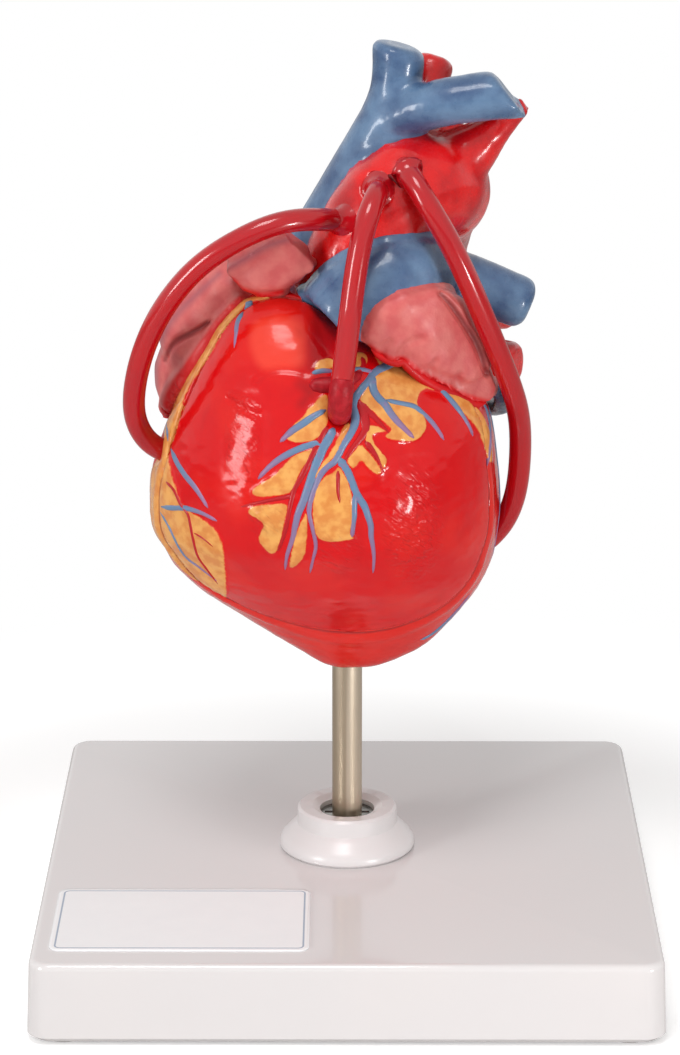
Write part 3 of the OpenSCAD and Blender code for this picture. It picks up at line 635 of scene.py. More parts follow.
FRONT_ARTERIES = [
    ((8, 7, 6, 5, 4), [
        (328, 426), (321, 438), (316, 450), (309, 462), (302, 476), (295, 488), (292, 497), (289, 512), (286, 528),
        (282, 540), (278, 551)]),
    ((5, 4, 2), [(292, 496), (281, 498), (266, 501), (252, 504), (241, 507)]),
    ((10, 10, 7, 5), [(358, 400), (364, 415), (365, 430), (360, 439), (352, 449), (345, 460)]),
    ((10, 8, 5, 2), [(360, 403), (369, 412), (378, 421), (389, 433)]),
    ((7, 6, 4, 2), [(365, 441), (373, 452), (378, 460), (384, 473)]),
    ((5, 4, 2), [(338, 471), (338, 483), (338, 493), (340, 503)]),
    ((6, 6, 5), [(362, 357), (364, 364), (358, 372), (350, 380)]),
    ((4, 4, 4, 3), [
        (166, 482), (174, 490), (180, 504), (188, 514), (191, 529), (194, 543), (198, 557), (206, 568), (218, 584)]),
    ((3, 2, 2), [(194, 533), (204, 539), (213, 547)]),
]
FRONT_FAT = [
    [(374, 355), (385, 354), (400, 359), (414, 368), (429, 377), (441, 385), (438, 390), (426, 389), (420, 392),
     (417, 399), (417, 405), (424, 417), (425, 429), (417, 439), (404, 441), (391, 439), (386, 436), (391, 430),
     (385, 423), (376, 414), (367, 406), (360, 399), (366, 389), (371, 380), (381, 371)],
    [(367, 426), (378, 427), (386, 432), (378, 432), (372, 436), (374, 444), (381, 452), (386, 460), (384, 468),
     (378, 460), (371, 450), (366, 442), (366, 433)],
    [(360, 445), (366, 450), (374, 460), (381, 471), (378, 474), (370, 469), (361, 460), (354, 468), (348, 463),
     (348, 459), (354, 452)],
    [(333, 473), (339, 467), (345, 476), (350, 488), (352, 504), (352, 519), (350, 533), (354, 538), (343, 540),
     (333, 541), (323, 540), (317, 535), (314, 522), (313, 509), (316, 491), (323, 479)],
    [(306, 514), (307, 529), (306, 543), (304, 555), (297, 564), (290, 566), (293, 547), (298, 529)],
    [(316, 450), (309, 450), (298, 454), (290, 459), (283, 467), (273, 476), (262, 483), (252, 491), (257, 496),
     (271, 496), (285, 494), (292, 490), (298, 476), (305, 464)],
    [(250, 508), (262, 505), (276, 504), (285, 504), (287, 510), (284, 524), (281, 538), (277, 550), (271, 553),
     (264, 547), (259, 538), (264, 526), (259, 519), (250, 514)],
    [(327, 396), (319, 398), (314, 404), (308, 409), (305, 415), (295, 424), (286, 436), (292, 441), (305, 442),
     (317, 438), (324, 429), (327, 421)],
    [(319, 361), (331, 359), (334, 367), (322, 370), (314, 370)],
    [(352, 354), (364, 354), (367, 362), (360, 367), (353, 366)],
]
FRONT_FAT_LINES = [
    ((5, 5, 4), [(348, 426), (342, 436), (336, 448), (329, 459), (323, 466), (317, 476)]),
    ((12, 14, 13, 10, 4), [
        (444, 386), (452, 394), (460, 402), (469, 410), (477, 419), (483, 430), (487, 444), (490, 460)]),
    ((3, 6, 8, 8, 11), [
        (268, 298), (248, 301), (236, 312), (223, 327), (214, 341), (207, 353), (195, 371), (185, 388), (178, 404),
        (174, 424)]),
]
SIDE_FAT = [
    [(167, 412), (160, 430), (154, 452), (151, 475), (150, 500), (152, 522), (160, 540), (173, 556), (188, 572),
     (204, 587), (219, 600), (226, 597), (226, 580), (224, 556), (221, 540), (213, 527), (198, 516), (184, 506),
     (177, 490), (171, 470), (169, 453), (174, 433), (175, 418)],
]
# Soft-edged patches of lighter and darker red, and the creases and the short ridge of the outflow. The lighter patch
# is a painted sheen on the outflow's bulge, and the darker lines are painted shade by the front graft and under a
# fold.
PAINTED_SHEEN_PATCHES = [
    [(256, 322), (272, 316), (292, 318), (303, 328), (305, 350), (302, 366), (282, 368), (262, 368), (252, 352),
     (250, 336)],
]
PAINTED_SHADE_LINES = [
    ((14, 24, 26, 16), [(322, 302), (324, 322), (322, 344), (318, 366)]),
    ((6, 8, 6), [(300, 384), (308, 394), (302, 404)]),
]
CREASES = [
    ((3, 4, 4, 3), [(256, 380), (266, 372), (280, 369), (294, 370), (306, 373)]),
    ((2, 3, 2), [(228, 398), (240, 406), (256, 415)]),
    ((2, 3, 2), [(262, 488), (280, 494), (292, 492)]),
]
RIDGES = [
    ((3, 4, 3), [(231, 394), (243, 400), (259, 409)]),
]
# Middle, half width and half height of the creased places, in pixels.
RIPPLED_PLACES = [((243, 448), (19, 56)), ((412, 524), (34, 62)), ((338, 552), (30, 22)), ((270, 520), (24, 16))]
HOST_ARTERY = ((11, 17, 18, 15, 10), [(309, 385), (320, 385), (334, 384), (348, 381), (362, 372)])
# The sewn end of the front graft: its middle line in the heart's millimetres, and its radius.
GRAFT_END = [(-0.9, -30.3, 67.4), (-1.1, -30.7, 65.4), (-1.3, -30.2, 63), (-1.4, -28.8, 60.6), (-1.5, -27, 58.8)]
GRAFT_END_RADIUS = 2.3 * MM

# Outlines of the two auricles, and the lines that are pressed into them and painted on them.
RIGHT_AURICLE = [
    (226, 270), (236, 262), (247, 256), (260, 247), (272, 240), (281, 233), (286, 234), (290, 241), (297, 247),
    (304, 254), (311, 261), (315, 268), (311, 273), (305, 277), (297, 283), (290, 288), (283, 294), (272, 296),
    (261, 296), (250, 294), (242, 290), (236, 284), (230, 277)]
LEFT_AURICLE = [
    (367, 342), (366, 329), (371, 319), (379, 307), (389, 299), (401, 295), (417, 291), (438, 289), (452, 294),
    (463, 307), (470, 319), (476, 333), (481, 347), (486, 361), (492, 374), (496, 386), (493, 398), (486, 403),
    (472, 400), (461, 396), (452, 391), (443, 386), (432, 381), (422, 376), (413, 371), (406, 366), (401, 361),
    (395, 362), (387, 361), (376, 354)]
# The groove is pressed in and painted dark red as painted shade.
LEFT_AURICLE_GROOVES = [
    ((3, 5, 5, 5, 4), [(441, 294), (450, 304), (458, 315), (467, 329), (475, 342), (481, 356), (487, 374)]),
]
LEFT_AURICLE_PLEATS = [
    ((7, 6, 3), [(401, 360), (403, 350), (411, 343), (422, 339)]),
    ((5, 5, 2), [(433, 380), (431, 370), (436, 362)]),
    ((5, 5, 2), [(459, 394), (456, 384), (460, 375)]),
    ((5, 5, 2), [(381, 357), (383, 348), (390, 342)]),
]
LEFT_AURICLE_RIM = [
    ((8, 11, 11, 12, 12, 12, 10), [
        (369, 349), (384, 359), (394, 363), (402, 362), (409, 368), (421, 377), (446, 390), (463, 399), (488, 405)]),
]
LEFT_RIM_ROLL = ((5, 8, 9, 10, 11, 11, 8), [
    (371, 348), (379, 356), (389, 361), (397, 363), (403, 362), (409, 368), (421, 378), (434, 386), (447, 392),
    (463, 400), (476, 404), (486, 402)])
RIGHT_AURICLE_RIM = [((5, 7, 6, 4), [(233, 281), (241, 290), (251, 294), (264, 296), (282, 292)])]
# A purple-brown painted shadow cast by the graft and by the flap's top edge.
RIGHT_AURICLE_PAINTED_SHADOW = [((6, 8, 6), [(229, 268), (247, 258), (265, 247), (286, 240)])]
# The crease is pressed in and painted dark red as painted shade.
ATRIUM_GROOVES = [
    ((3, 5, 5, 3), [(209, 323), (192, 333), (174, 343), (165, 360)]),
]
ATRIUM_BAND = [((6, 10, 11, 11, 9), [(240, 300), (224, 318), (208, 341), (190, 366), (173, 391), (163, 416)])]
# A purple-brown painted shadow band along the atrium's upper outer edge.
ATRIUM_PAINTED_SHADOW = [((6, 8, 8, 6), [(219, 274), (195, 296), (173, 319), (159, 345), (155, 372), (155, 396)])]

# The sides that the photograph doesn't show, in millimetres of the heart's frame: its right side, its back
# and its left side.
CASING_SIDE_FAT = [
    [(20, 57), (10, 56), (6.5, 50), (5.5, 43), (6.4, 38), (8.6, 34), (9, 30), (12, 26.5), (14.4, 21), (20, 18)],
]
BEHIND_VEINS = [
    ((2.2, 1.8, 1.5, 0.8), [(5, 50.5), (3.4, 44), (3, 37), (1.8, 30), (1, 24), (-1.4, 18), (-3.2, 13)]),
    ((1.3, 1, 0.5), [(3.2, 38), (7, 33.5), (10, 28), (12, 22), (13, 17)]),
    ((1.2, 0.9, 0.5), [(2.4, 33), (-3, 29), (-7, 24), (-10, 19)]),
    ((1.5, 1.2, 0.5), [(-14, 49), (-16, 42), (-16.5, 35), (-18, 28), (-18, 22)]),
    ((1.1, 0.8, 0.4), [(-16.5, 37), (-20, 32), (-22, 27)]),
    ((1.3, 1, 0.5), [(20, 48), (22, 41), (24, 35), (24, 29)]),
]
BEHIND_ARTERIES = [
    ((1.7, 1.4, 1.1, 0.6), [(7, 50.5), (5.6, 44), (5, 37), (4.4, 30), (3, 23), (1.2, 16), (0, 11)]),
    ((1, 0.8, 0.4), [(5.2, 40), (9.6, 37), (14, 32), (17, 26)]),
    ((1, 0.8, 0.4), [(4.6, 31), (7.4, 26), (8.6, 20)]),
    ((1.2, 0.9, 0.5), [(-10, 50), (-11, 43), (-12, 36), (-11.6, 29)]),
    ((1.4, 1.2, 0.8), [(24, 52), (17, 50), (10, 49.6), (7, 50.5)]),
]
BEHIND_FAT = [
    [(10, 50.6), (9, 45), (8, 38), (7.4, 31), (6, 24), (4, 18), (1, 13), (-1.6, 13), (-0.6, 19), (-0.4, 26),
     (0.6, 33), (1, 40), (1.6, 46), (2, 50.4)],
    [(-6, 50.6), (-8, 46.6), (-13, 46), (-19, 46.6), (-25, 49), (-28, 54), (-24, 55), (-16, 52)],
    [(12, 50.4), (16, 47), (22, 46.4), (28, 49), (31, 54), (26, 55), (18, 52)],
]
SIDE_VEINS = [
    ((1.5, 1.2, 0.5), [(-4, 55), (-2, 46), (-1, 38), (-3, 30), (-4, 22)]),
    ((1.1, 0.8, 0.4), [(-1.4, 41), (4, 36), (7, 30), (9, 24)]),
]
SIDE_ARTERIES = [
    ((1.2, 1, 0.5), [(8, 50), (9, 43), (8, 36), (9.4, 29)]),
]

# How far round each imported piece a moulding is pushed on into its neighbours.
TOUCH_REACH = 1.4 * MM
# Soft balls, as (middle, radii) in the heart's millimetres, that fill the hollows where pieces meet.
FILLS = {
    "aorta": [((-3.2, -14.4, 94.2), (2.2,) * 3), ((11, -13.4, 103.4), (2.2,) * 3)],
    "pulmonary_artery": [((-5.8, -9.9, 77.6), (5.2, 3.8, 2.8))],
    "right_atrium": [((-27.4, -1, 69), (9.4, 9.4, 10)), ((-21.5, -2, 77), (8.6, 8, 7.6))],
}
PLATE_THICKNESS = 5        # of an auricle's plate, in millimetres
RIM_FACES = Vector((0, -1, 0.25)).normalized()     # the way the left auricle's rolled rim faces

# ------------------------------------------------------------------ relief


def near_others(obj, node, reach):
    """How close each point lies to the other fixed nodes of its body: 1 where they touch, 0 past reach."""
    others = [n for n in ORGANS if n not in ("front_wall", node)]
    touch = np.zeros(len(obj.data.vertices))
    trees = [BVHTree.FromBMesh(sewn(n)) for n in others]
    boxes = [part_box(n) for n in others]
    for k, vertex in enumerate(obj.data.vertices):
        for tree, (low, high) in zip(trees, boxes):
            if all(low[i] - reach < vertex.co[i] < high[i] + reach for i in range(3)):
                found = tree.find_nearest(vertex.co, reach)
                if found[0] is not None:
                    touch[k] = max(touch[k], 1 - found[3] / reach)
    return touch


def heart_place(place):
    """A place in the heart's millimetres as a place in the frame."""
    return Vector(place) * MM + Vector((0, 0, HEART_LIFT))


def moulded(node, size, rounds, seat=0.7 * MM, plate=None):
    """A soft-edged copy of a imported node. Where it meets its neighbours it is pushed on into them."""
    bm = sewn(node)
    for middle, radii in FILLS.get(node, ()):
        shape = Matrix.Translation(heart_place(middle)) @ Matrix.Diagonal([r * MM for r in radii] + [1])
        bmesh.ops.create_icosphere(bm, subdivisions=3, radius=1, matrix=shape)
    if plate is not None:
        add_plate(bm, *plate)
    obj = closed(as_object(node + "_moulding", bm), size)
    touch = near_others(obj, node, TOUCH_REACH)
    ease(obj, rounds)
    put_points(obj, points_of(obj) + normals_of(obj) * (step(touch, 0.25, 0.85) * seat)[:, None])
    ease(obj, 2)
    return subdivided(obj, 1)


def at_depth(spot, depth):
    """The place behind a spot of the photograph whose Y is depth, in millimetres."""
    start, aim = FRONT.ray(spot)
    return start + aim * ((depth * MM - start.y) / aim.y)


def add_plate(bm, outline, face_of):
    """Adds a plate that fills an outline of the photograph; face_of(spots) is its front's Y in millimetres."""
    ring = curve(outline, 3, shut=True)
    corners = [bm.verts.new(at_depth(spot, depth)) for spot, depth in zip(ring, face_of(ring))]
    face = bmesh.ops.contextual_create(bm, geom=corners)["faces"]
    back = bmesh.ops.extrude_face_region(bm, geom=face, use_keep_orig=True)["geom"]
    back = [g for g in back if isinstance(g, bmesh.types.BMVert)]
    bmesh.ops.translate(bm, vec=(0, PLATE_THICKNESS * MM, 0), verts=back)
    bmesh.ops.recalc_face_normals(bm, faces=bm.faces)


def right_auricle_face(spots):
    """Lies 16 mm in front of the rod and curls back along its foot and its left end."""
    return -16 + 2.4 * step(spots[:, 1], 276, 292) + 1.2 * below(spots[:, 0], 228, 262)


def left_auricle_face(spots):
    """Lies 22.6 mm in front of the rod and bends back round the heart to the right."""
    across = ((spots[:, 0] - PHOTO_WIDTH / 2) * PIXEL / MM - 6.4).clip(0)
    return -22.6 + 0.0225 * across**2


def paint_strokes(obj, name, strokes):
    """Stores how far each point on the front lies from the strokes of that name."""
    points, far = points_of(obj), 50.0
    spots = FRONT.seen(points)
    gap = np.full(len(spots), far)
    for stroke in strokes:
        gap = np.minimum(gap, stroke_distance(spots, stroke))
    in_sight = step(FRONT.facing(points, normals_of(obj)), -0.75, -0.5)
    put_attribute(obj, name, (gap * in_sight + far * (1 - in_sight)) * PIXEL)


def rim_roll(name, line, face_of, sunk):
    """A rolled rim along a line of the photograph, sunk a little behind the plate's front."""
    widths, points = line
    spots = curve(points, 4)
    places = [at_depth(spot, depth + sunk) for spot, depth in zip(spots, face_of(spots))]
    bm, count, stations = bmesh.new(), len(places), []
    for k, place in enumerate(places):
        share = k / (count - 1)
        half = widths_at(share, widths) * PIXEL / 2
        half *= 0.35 + 0.65 * min(1, min(k, count - 1 - k) / 3)
        stations.append((place, RIM_FACES, heading(places, k), half, half, share))
    swept(bm, stations, 14)
    return subdivided(outward_object(name, bm), 1)


def atrial_piece(node, size, rounds, grooves=(), pleats=(), band=(), red=(), crease_shade=(), shadow_lines=(), plate=None):
    """An atrium or auricle with its folds pressed in and its paint lines stored: red lines, dark red painted shade
    in the grooves and purple-brown painted shadow.
    """
    obj = moulded(node, size, rounds, plate=plate)
    for drawings, height, soft in ((grooves, -0.9, 3), (pleats, -0.45, 5), (band, 1.2, 7)):
        drawn_relief(obj, FRONT, drawings, height * MM, soft)
    points, normals = points_of(obj), normals_of(obj)
    put_points(obj, points + normals * (clouds(points, 3.2 * MM) * 0.1 * MM)[:, None])
    # Red lines, dark red painted shade in the grooves and purple-brown painted shadow.
    for name, strokes in (("red_paint", red), ("crease_shade_paint", crease_shade), ("painted_shadow", shadow_lines)):
        paint_strokes(obj, name, strokes)
    return obj


def drawn_relief(obj, sight, drawings, height, soft, clear=None):
    """Raises or presses the lines and patches of a drawing, in metres, over a soft edge in drawing units."""
    points, normals = points_of(obj), normals_of(obj)
    spots = sight.seen(points)
    facing = step(sight.facing(points, normals), 0.05, 0.3)
    if clear is not None:
        facing = facing * clear
    nearest = np.full(len(points), 1e3)
    for drawing in drawings:
        is_line = isinstance(drawing, tuple)
        gap = stroke_distance(spots, drawing) if is_line else patch_distance(spots, drawing)
        nearest = np.minimum(nearest, gap)
    put_points(obj, points + normals * (height * below(nearest, -soft * 0.4, soft) * facing)[:, None])
    return np.where(facing > 0.02, nearest * sight.unit, 0.01)


# ------------------------------------------------------------------ ventricles

SKIN_MESH = 1.3 * MM
WALL_MESH = 0.5 * MM
CASING_MESH = 0.62 * MM
# Heights in metres between which these die away: the seam's painted shadow line and the casing's lip above, and the
# lighter red towards the apex.
SEAM_FADES = (0.096, 0.104)
LIP_FADES = (0.09, 0.104)
APEX_FADES = (0.1, 0.115)


def eased_ventricles():
    """The ventricles' whole outer skin, with its facets eased away."""
    whole = closed(as_object("whole_ventricles", sewn("front_wall", "rear_casing")), SKIN_MESH)
    bm = bmesh.new()
    bm.from_mesh(whole.data)
    bm.verts.ensure_lookup_table()
    outermost = min(bm.verts, key=lambda v: v.co.x)
    reached, edge = {outermost}, [outermost]
    while edge:
        edge = [w for v in edge for w in (e.other_vert(v) for e in v.link_edges) if w not in reached]
        reached.update(edge)
        edge = list(set(edge))
    bmesh.ops.delete(bm, geom=[v for v in bm.verts if v not in reached], context="VERTS")
    bm.to_mesh(whole.data)
    bm.free()
    return subdivided(ease(whole, 70), 1)


def laid_on_skin(obj, skin):
    """Moves the outer points on to the eased skin, and returns how far each point is an outer one."""
    tree = tree_of(skin)
    points, normals = points_of(obj), normals_of(obj)
    outer = np.zeros(len(points))
    target = points.copy()
    for k, point in enumerate(points):
        place, normal, _, gap = tree.find_nearest(Vector(point), 2.2 * MM)
        if place is not None:
            outer[k] = (1 - max(gap - 1.2 * MM, 0) / MM) * (normal.dot(Vector(normals[k])) > 0.35)
            target[k] = place
    outer = outer.clip(0, 1)
    put_points(obj, points + (target - points) * outer[:, None])
    return outer


def inner_surfaces(obj, skin):
    """1 on the chambers' walls and the parting faces, and 0 on the outside."""
    tree = tree_of(skin)
    points = points_of(obj)
    deep = np.array([tree.find_nearest(Vector(p))[3] for p in points])
    return step(deep, 0.7 * MM, 1.0 * MM)


def ventricle_piece(node, size, skin):
    """One half of the ventricles with its lip, fat, creases and ripples, and the numbers its paint reads."""
    obj = closed(as_object(node + "_moulding", sewn(node)), size)
    outer = laid_on_skin(obj, skin)
    ease(obj, 6, hold=0.4 * (1 - outer))
    inside = inner_surfaces(obj, skin)
    put_attribute(obj, "inside", inside)
    points, normals = points_of(obj), normals_of(obj)
    heights, to_seam = points[:, 2], np.abs(points[:, 1] - PARTING_Y)
    # Distance to the seam, which the finish darkens as a painted shadow line.
    put_attribute(obj, "seam_shadow", to_seam + step(heights, *SEAM_FADES) * MM)
    lip = (1 - to_seam / (1.1 * MM)).clip(0, 1) ** 2
    if node == "rear_casing":
        lip -= 0.55 * np.exp(-((to_seam - 1.7 * MM) / (0.75 * MM)) ** 2) * below(heights, *LIP_FADES)
    ripple = clouds(points * [1, 1, 1.7], 2.4 * MM) * 0.05 * MM + clouds(points, 9 * MM) * 0.12 * MM
    lift = (ripple - lip * 0.45 * MM) * (1 - inside)
    put_points(obj, points + normals * lift[:, None])
    clear = 1 - inside
    if node == "rear_casing":
        fat = drawn_relief(obj, FRONT, FRONT_FAT_LINES, 0.26 * MM, 1.6, clear)
        fat = np.minimum(fat, drawn_relief(obj, RIGHT_SIDE, CASING_SIDE_FAT, 0.3 * MM, 0.5, clear))
    else:
        fat = drawn_relief(obj, FRONT, FRONT_FAT + FRONT_FAT_LINES + SIDE_FAT, 0.26 * MM, 1.6, clear)
    fat = np.minimum(fat, drawn_relief(obj, BEHIND, BEHIND_FAT, 0.3 * MM, 0.5, clear))
    put_attribute(obj, "fat", fat)
    drawn_relief(obj, FRONT, CREASES, -0.3 * MM, 4, clear)
    drawn_relief(obj, FRONT, RIDGES, 0.4 * MM, 2.5, clear)
    spots, front_side = FRONT.seen(points_of(obj)), step(-normals_of(obj)[:, 1], 0.0, 0.3) * clear
    # A lighter orange-red painted as a sheen over the outflow, and a lighter red towards the bottom of the casing.
    lighter_red_and_painted_sheen = np.max([below(patch_distance(spots, patch), -6, 6) for patch in PAINTED_SHEEN_PATCHES], 0)
    if node == "rear_casing":
        lighter_red_and_painted_sheen = np.maximum(lighter_red_and_painted_sheen, 0.35 * below(heights, *APEX_FADES))
    put_attribute(obj, "lighter_red_and_painted_sheen", lighter_red_and_painted_sheen * front_side)
    # Dark red painted as shade by the front graft and under a fold.
    shade = np.max([0.5 * below(stroke_distance(spots, line), -6, 8) for line in PAINTED_SHADE_LINES], 0)
    put_attribute(obj, "shade", shade * front_side)
    away = [np.linalg.norm((spots - middle) / half, axis=1) for middle, half in RIPPLED_PLACES]
    rippled = np.max([below(gap, 0.55, 1.1) for gap in away], 0)
    put_attribute(obj, "ripple", 0.03 + 0.97 * rippled * front_side)
    return obj


# ------------------------------------------------------------------ surface vessels

VEIN_HEIGHT, ARTERY_HEIGHT, HOST_HEIGHT = 0.42 * MM, 0.36 * MM, 1.3 * MM


def swept(bm, stations, sides=10):
    """A flattened tube through stations of (place, outward, along, half width, height, share of the way)."""
    way = bm.verts.layers.float.get("along") or bm.verts.layers.float.new("along")

    def ring_place(place, outward, along, half, height, _):
        across = outward.cross(along).normalized()
        up = along.cross(across).normalized()
        columns = [across * half, up * height, along * MM]
        return Matrix.Translation(place - up * height * 0.35) @ Matrix(columns).transposed().to_4x4()

    previous = ring_place(*stations[0])
    ring = bmesh.ops.create_circle(bm, segments=sides, radius=1, matrix=previous)["verts"]
    first = list(ring)
    for vertex in ring:
        vertex[way] = stations[0][5]
    for station in stations[1:]:
        ring = next_ring(bm, ring)
        current = ring_place(*station)
        bmesh.ops.transform(bm, matrix=current @ previous.inverted(), verts=ring)
        previous = current
        for vertex in ring:
            vertex[way] = station[5]
    for end in (first, ring):
        bmesh.ops.contextual_create(bm, geom=end)


def laid_lines(name, material, lines_of_sights, walls, height, slot):
    """Sweeps each drawn line over the walls that it crosses, as one piece for each wall's body."""
    made = {wall: bmesh.new() for wall in walls}
    trees = {wall: tree_of(obj) for wall, (obj, _) in walls.items()}
    for sight, lines in lines_of_sights:
        for widths, points in lines:
            spots = curve(points, 5)
            shares = np.linspace(0, 1, len(spots))
            wide = widths_at(shares, widths) * sight.unit
            runs, owner = [], None
            for spot, share, width in zip(spots, shares, wide):
                start, aim = sight.ray(spot)
                hits = []
                for wall, tree in trees.items():
                    place, normal, _, far = tree.ray_cast(start, aim)
                    if place is not None:
                        hits.append((far, wall, place, normal))
                if not hits:
                    owner = None
                    continue
                _, wall, place, normal = min(hits, key=lambda h: h[0])
                if wall != owner:
                    runs.append((wall, []))
                    owner = wall
                runs[-1][1].append([place, normal, share, width])
            for wall, run in runs:
                if len(run) > 3:
                    swept(made[wall], stations_of(run, height))
    for wall, bm in made.items():
        if not bm.verts:
            bm.free()
            continue
        finish_piece(outward_object(f"{name}_of_{wall}", bm), material, walls[wall][1], slot)


def stations_of(run, height):
    """Evens out a run's places and directions and tapers both of its ends."""
    places = np.array([r[0] for r in run])
    normals = np.array([r[1] for r in run])
    for _ in range(3):
        normals[1:-1] = (normals[:-2] + 2 * normals[1:-1] + normals[2:]) / 4
        places[1:-1] = (places[:-2] + 2 * places[1:-1] + places[2:]) / 4
    count = len(run)
    made = []
    for k, (_, _, share, width) in enumerate(run):
        taper = min(1.0, 0.3 + 0.35 * min(k, count - 1 - k))
        half = width / 2 * taper
        rise = min(height, half * 1.1) * (0.4 + 0.6 * taper)
        made.append((Vector(places[k]), Vector(normals[k]).normalized(), heading(places, k), half, rise, share))
    return made


# ------------------------------------------------------------------ grafts


def graft_piece(node):
    """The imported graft's rings, rounded to a smooth tube of the same bore."""
    bm = sewn(node)
    bmesh.ops.join_triangles(
        bm, faces=bm.faces, cmp_seam=False, cmp_sharp=False, cmp_uvs=False, cmp_vcols=False, cmp_materials=False,
        angle_face_threshold=math.radians(50), angle_shape_threshold=math.radians(60))
    tube = subdivided(outward_object(node + "_tube", bm), 2)
    put_points(tube, points_of(tube) + normals_of(tube) * 0.1 * MM)
    return tube


def slant_top(obj, depth, slope):
    """Cuts the upright end of a vessel at a slant that falls to the right, without making it taller."""
    points = points_of(obj)
    top = points[:, 2].max()
    neck = points[points[:, 2] > top - depth / 2]
    low, high = neck[:, 0].min(), neck[:, 0].max()
    share = step(points[:, 2], top - depth, top - depth / 4) * below(points[:, 0], high, high + 2 * MM)
    points[:, 2] -= share * slope * (points[:, 0] - low).clip(0, high - low)
    put_points(obj, points)


def graft_end_piece():
    """The thick sewn end of the front graft, with a rounded tip."""
    places = [heart_place(p) for p in curve(GRAFT_END, 4)]
    bm, count, stations = bmesh.new(), len(places), []
    for k, place in enumerate(places):
        along = heading(places, k)
        left = min(k / 3, (count - 1 - k) / 5, 1)
        r = GRAFT_END_RADIUS * (0.86 + 0.14 * left if k < count / 2 else 0.3 + 0.7 * math.sqrt(left * (2 - left)))
        outward = along.cross(Vector((1, 0, 0))).normalized()
        stations.append((place + outward * r * 0.35, outward, along, r, r, 0))
    swept(bm, stations, 24)
    return outward_object("graft_front_sewn_end", bm)


# Rings of a graft's root: times the graft's radius, and millimetres above the aorta.
ROOT_RINGS = ((1.62, -0.5), (1.46, -0.05), (1.32, 0.2), (1.18, 0.55), (1.08, 1.0), (1.0, 1.5), (0.8, 1.9))
ROOT_SWAY = 2.2 * MM


def graft_root(name, surface, centre, direction, radius):
    """A moulded root that flares from a graft on to the aorta and follows its surface."""
    start, aim = heart_place(centre), Vector(direction).normalized()
    upright = aim.to_track_quat("Z", "Y").to_matrix().to_4x4()

    def above_surface(spot):
        hit = surface.ray_cast(spot + aim * 0.02, -aim, 0.04)
        return None if hit[0] is None else (hit[0] - start).dot(aim)

    bm = bmesh.new()
    ring = bmesh.ops.create_circle(bm, segments=40, radius=radius * MM, matrix=Matrix.Translation(start) @ upright)
    ring = ring["verts"]
    found = sorted(h for h in (above_surface(start + (v.co - start) * 1.4) for v in ring) if h is not None)
    middle = found[len(found) // 2] if found else 0
    for k, (wide, rise) in enumerate(ROOT_RINGS):
        if k:
            ring = next_ring(bm, ring)
        for vertex in ring:
            side = vertex.co - start
            side = (side - aim * side.dot(aim)).normalized() * radius * wide * MM
            height = above_surface(start + side)
            height = middle if height is None else min(max(height, middle - ROOT_SWAY), middle + ROOT_SWAY)
            height += (middle - height) * min(k / 9, 1)
            vertex.co = start + side + aim * (height + rise * MM)
    bmesh.ops.holes_fill(bm, edges=bm.edges, sides=0)
    return ease(outward_object(name, bm), 3)


# ------------------------------------------------------------------ stand

LABEL_CORNER = 2.2 * MM


def label_piece():
    """A thin film label with rounded corners."""
    low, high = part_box("blank_label")
    bm = bmesh.new()
    bmesh.ops.create_cube(bm, size=1)
    size = high - low
    bmesh.ops.scale(bm, vec=size, verts=bm.verts)
    bmesh.ops.translate(bm, vec=(low + high) / 2, verts=bm.verts)
    upright = [e for e in bm.edges if abs(e.verts[0].co.z - e.verts[1].co.z) > size.z / 2]
    bmesh.ops.bevel(bm, geom=upright, offset=LABEL_CORNER, offset_type="OFFSET", segments=8, profile=0.5,
                    affect="EDGES", material=-1)
    top = [f for f in bm.faces if f.normal.z > 0.9]
    for _ in range(3):
        bmesh.ops.inset_region(bm, faces=top, thickness=0.6 * MM, use_even_offset=True)
    label = as_object("label_film_sheet", bm)
    points = points_of(label)
    half, middle = np.array(size / 2)[:2], np.array((low + high) / 2)[:2]
    corner = np.abs(points[:, :2] - middle) - (half - LABEL_CORNER)
    past_corner = np.where((corner > 0).all(1), np.linalg.norm(corner.clip(0), axis=1), corner.max(1))
    put_attribute(label, "inset", LABEL_CORNER - past_corner)
    return label


def smooth_in(obj, material):
    """Shades a mesh smoothly, in one finish."""
    obj.data.materials.clear()
    obj.data.materials.append(material)
    obj.data.polygons.foreach_set("use_smooth", [True] * len(obj.data.polygons))


def finish_piece(obj, material, body, slot, *nodes):
    """Gives a piece its finish and its body, and hides the nodes that it stands for. The slot is not used."""
    smooth_in(obj, material)
    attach(obj, body)
    if nodes:
        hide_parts(*nodes)


def dress_node(node, material, sharp=30):
    """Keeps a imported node: sews its shading together up to that angle and gives it a finish."""
    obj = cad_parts[node]
    sew = obj.modifiers.new("sew", "WELD")
    sew.merge_threshold = 1e-6
    split = obj.modifiers.new("edges", "EDGE_SPLIT")
    split.split_angle = math.radians(sharp)
    smooth_in(obj, material)


# ------------------------------------------------------------------ putting it together

scene.view_settings.view_transform = "Standard"
make_light()
make_floor()

muscle = heart_muscle_finish()
blue = vessel_finish("vein_blue", BLUE, DEEP_BLUE)
artery = vessel_finish("artery_red", ARTERY_RED, DEEP_RED, 0.26)
pink = atrium_finish()
# Moulded tube of the grafts, with a high gloss, and the same crimson brushed on where one is sewn on.
crimson = clouded("graft_crimson", 0.2, (CRIMSON, DEEP_RED), (9, 3, 0.35, 0.7), [(5, 2, 0.04)],
                  specular=0.35, coat=0.35, coat_roughness=0.05)
sewn_crimson = clouded("graft_end_crimson", 0.42, (srgb(158, 12, 26), srgb(182, 26, 38)), (1.5, 4, 0.35, 0.7),
                       [(1.6, 3, 0.16), (0.4, 2, 0.03)], specular=0.25)
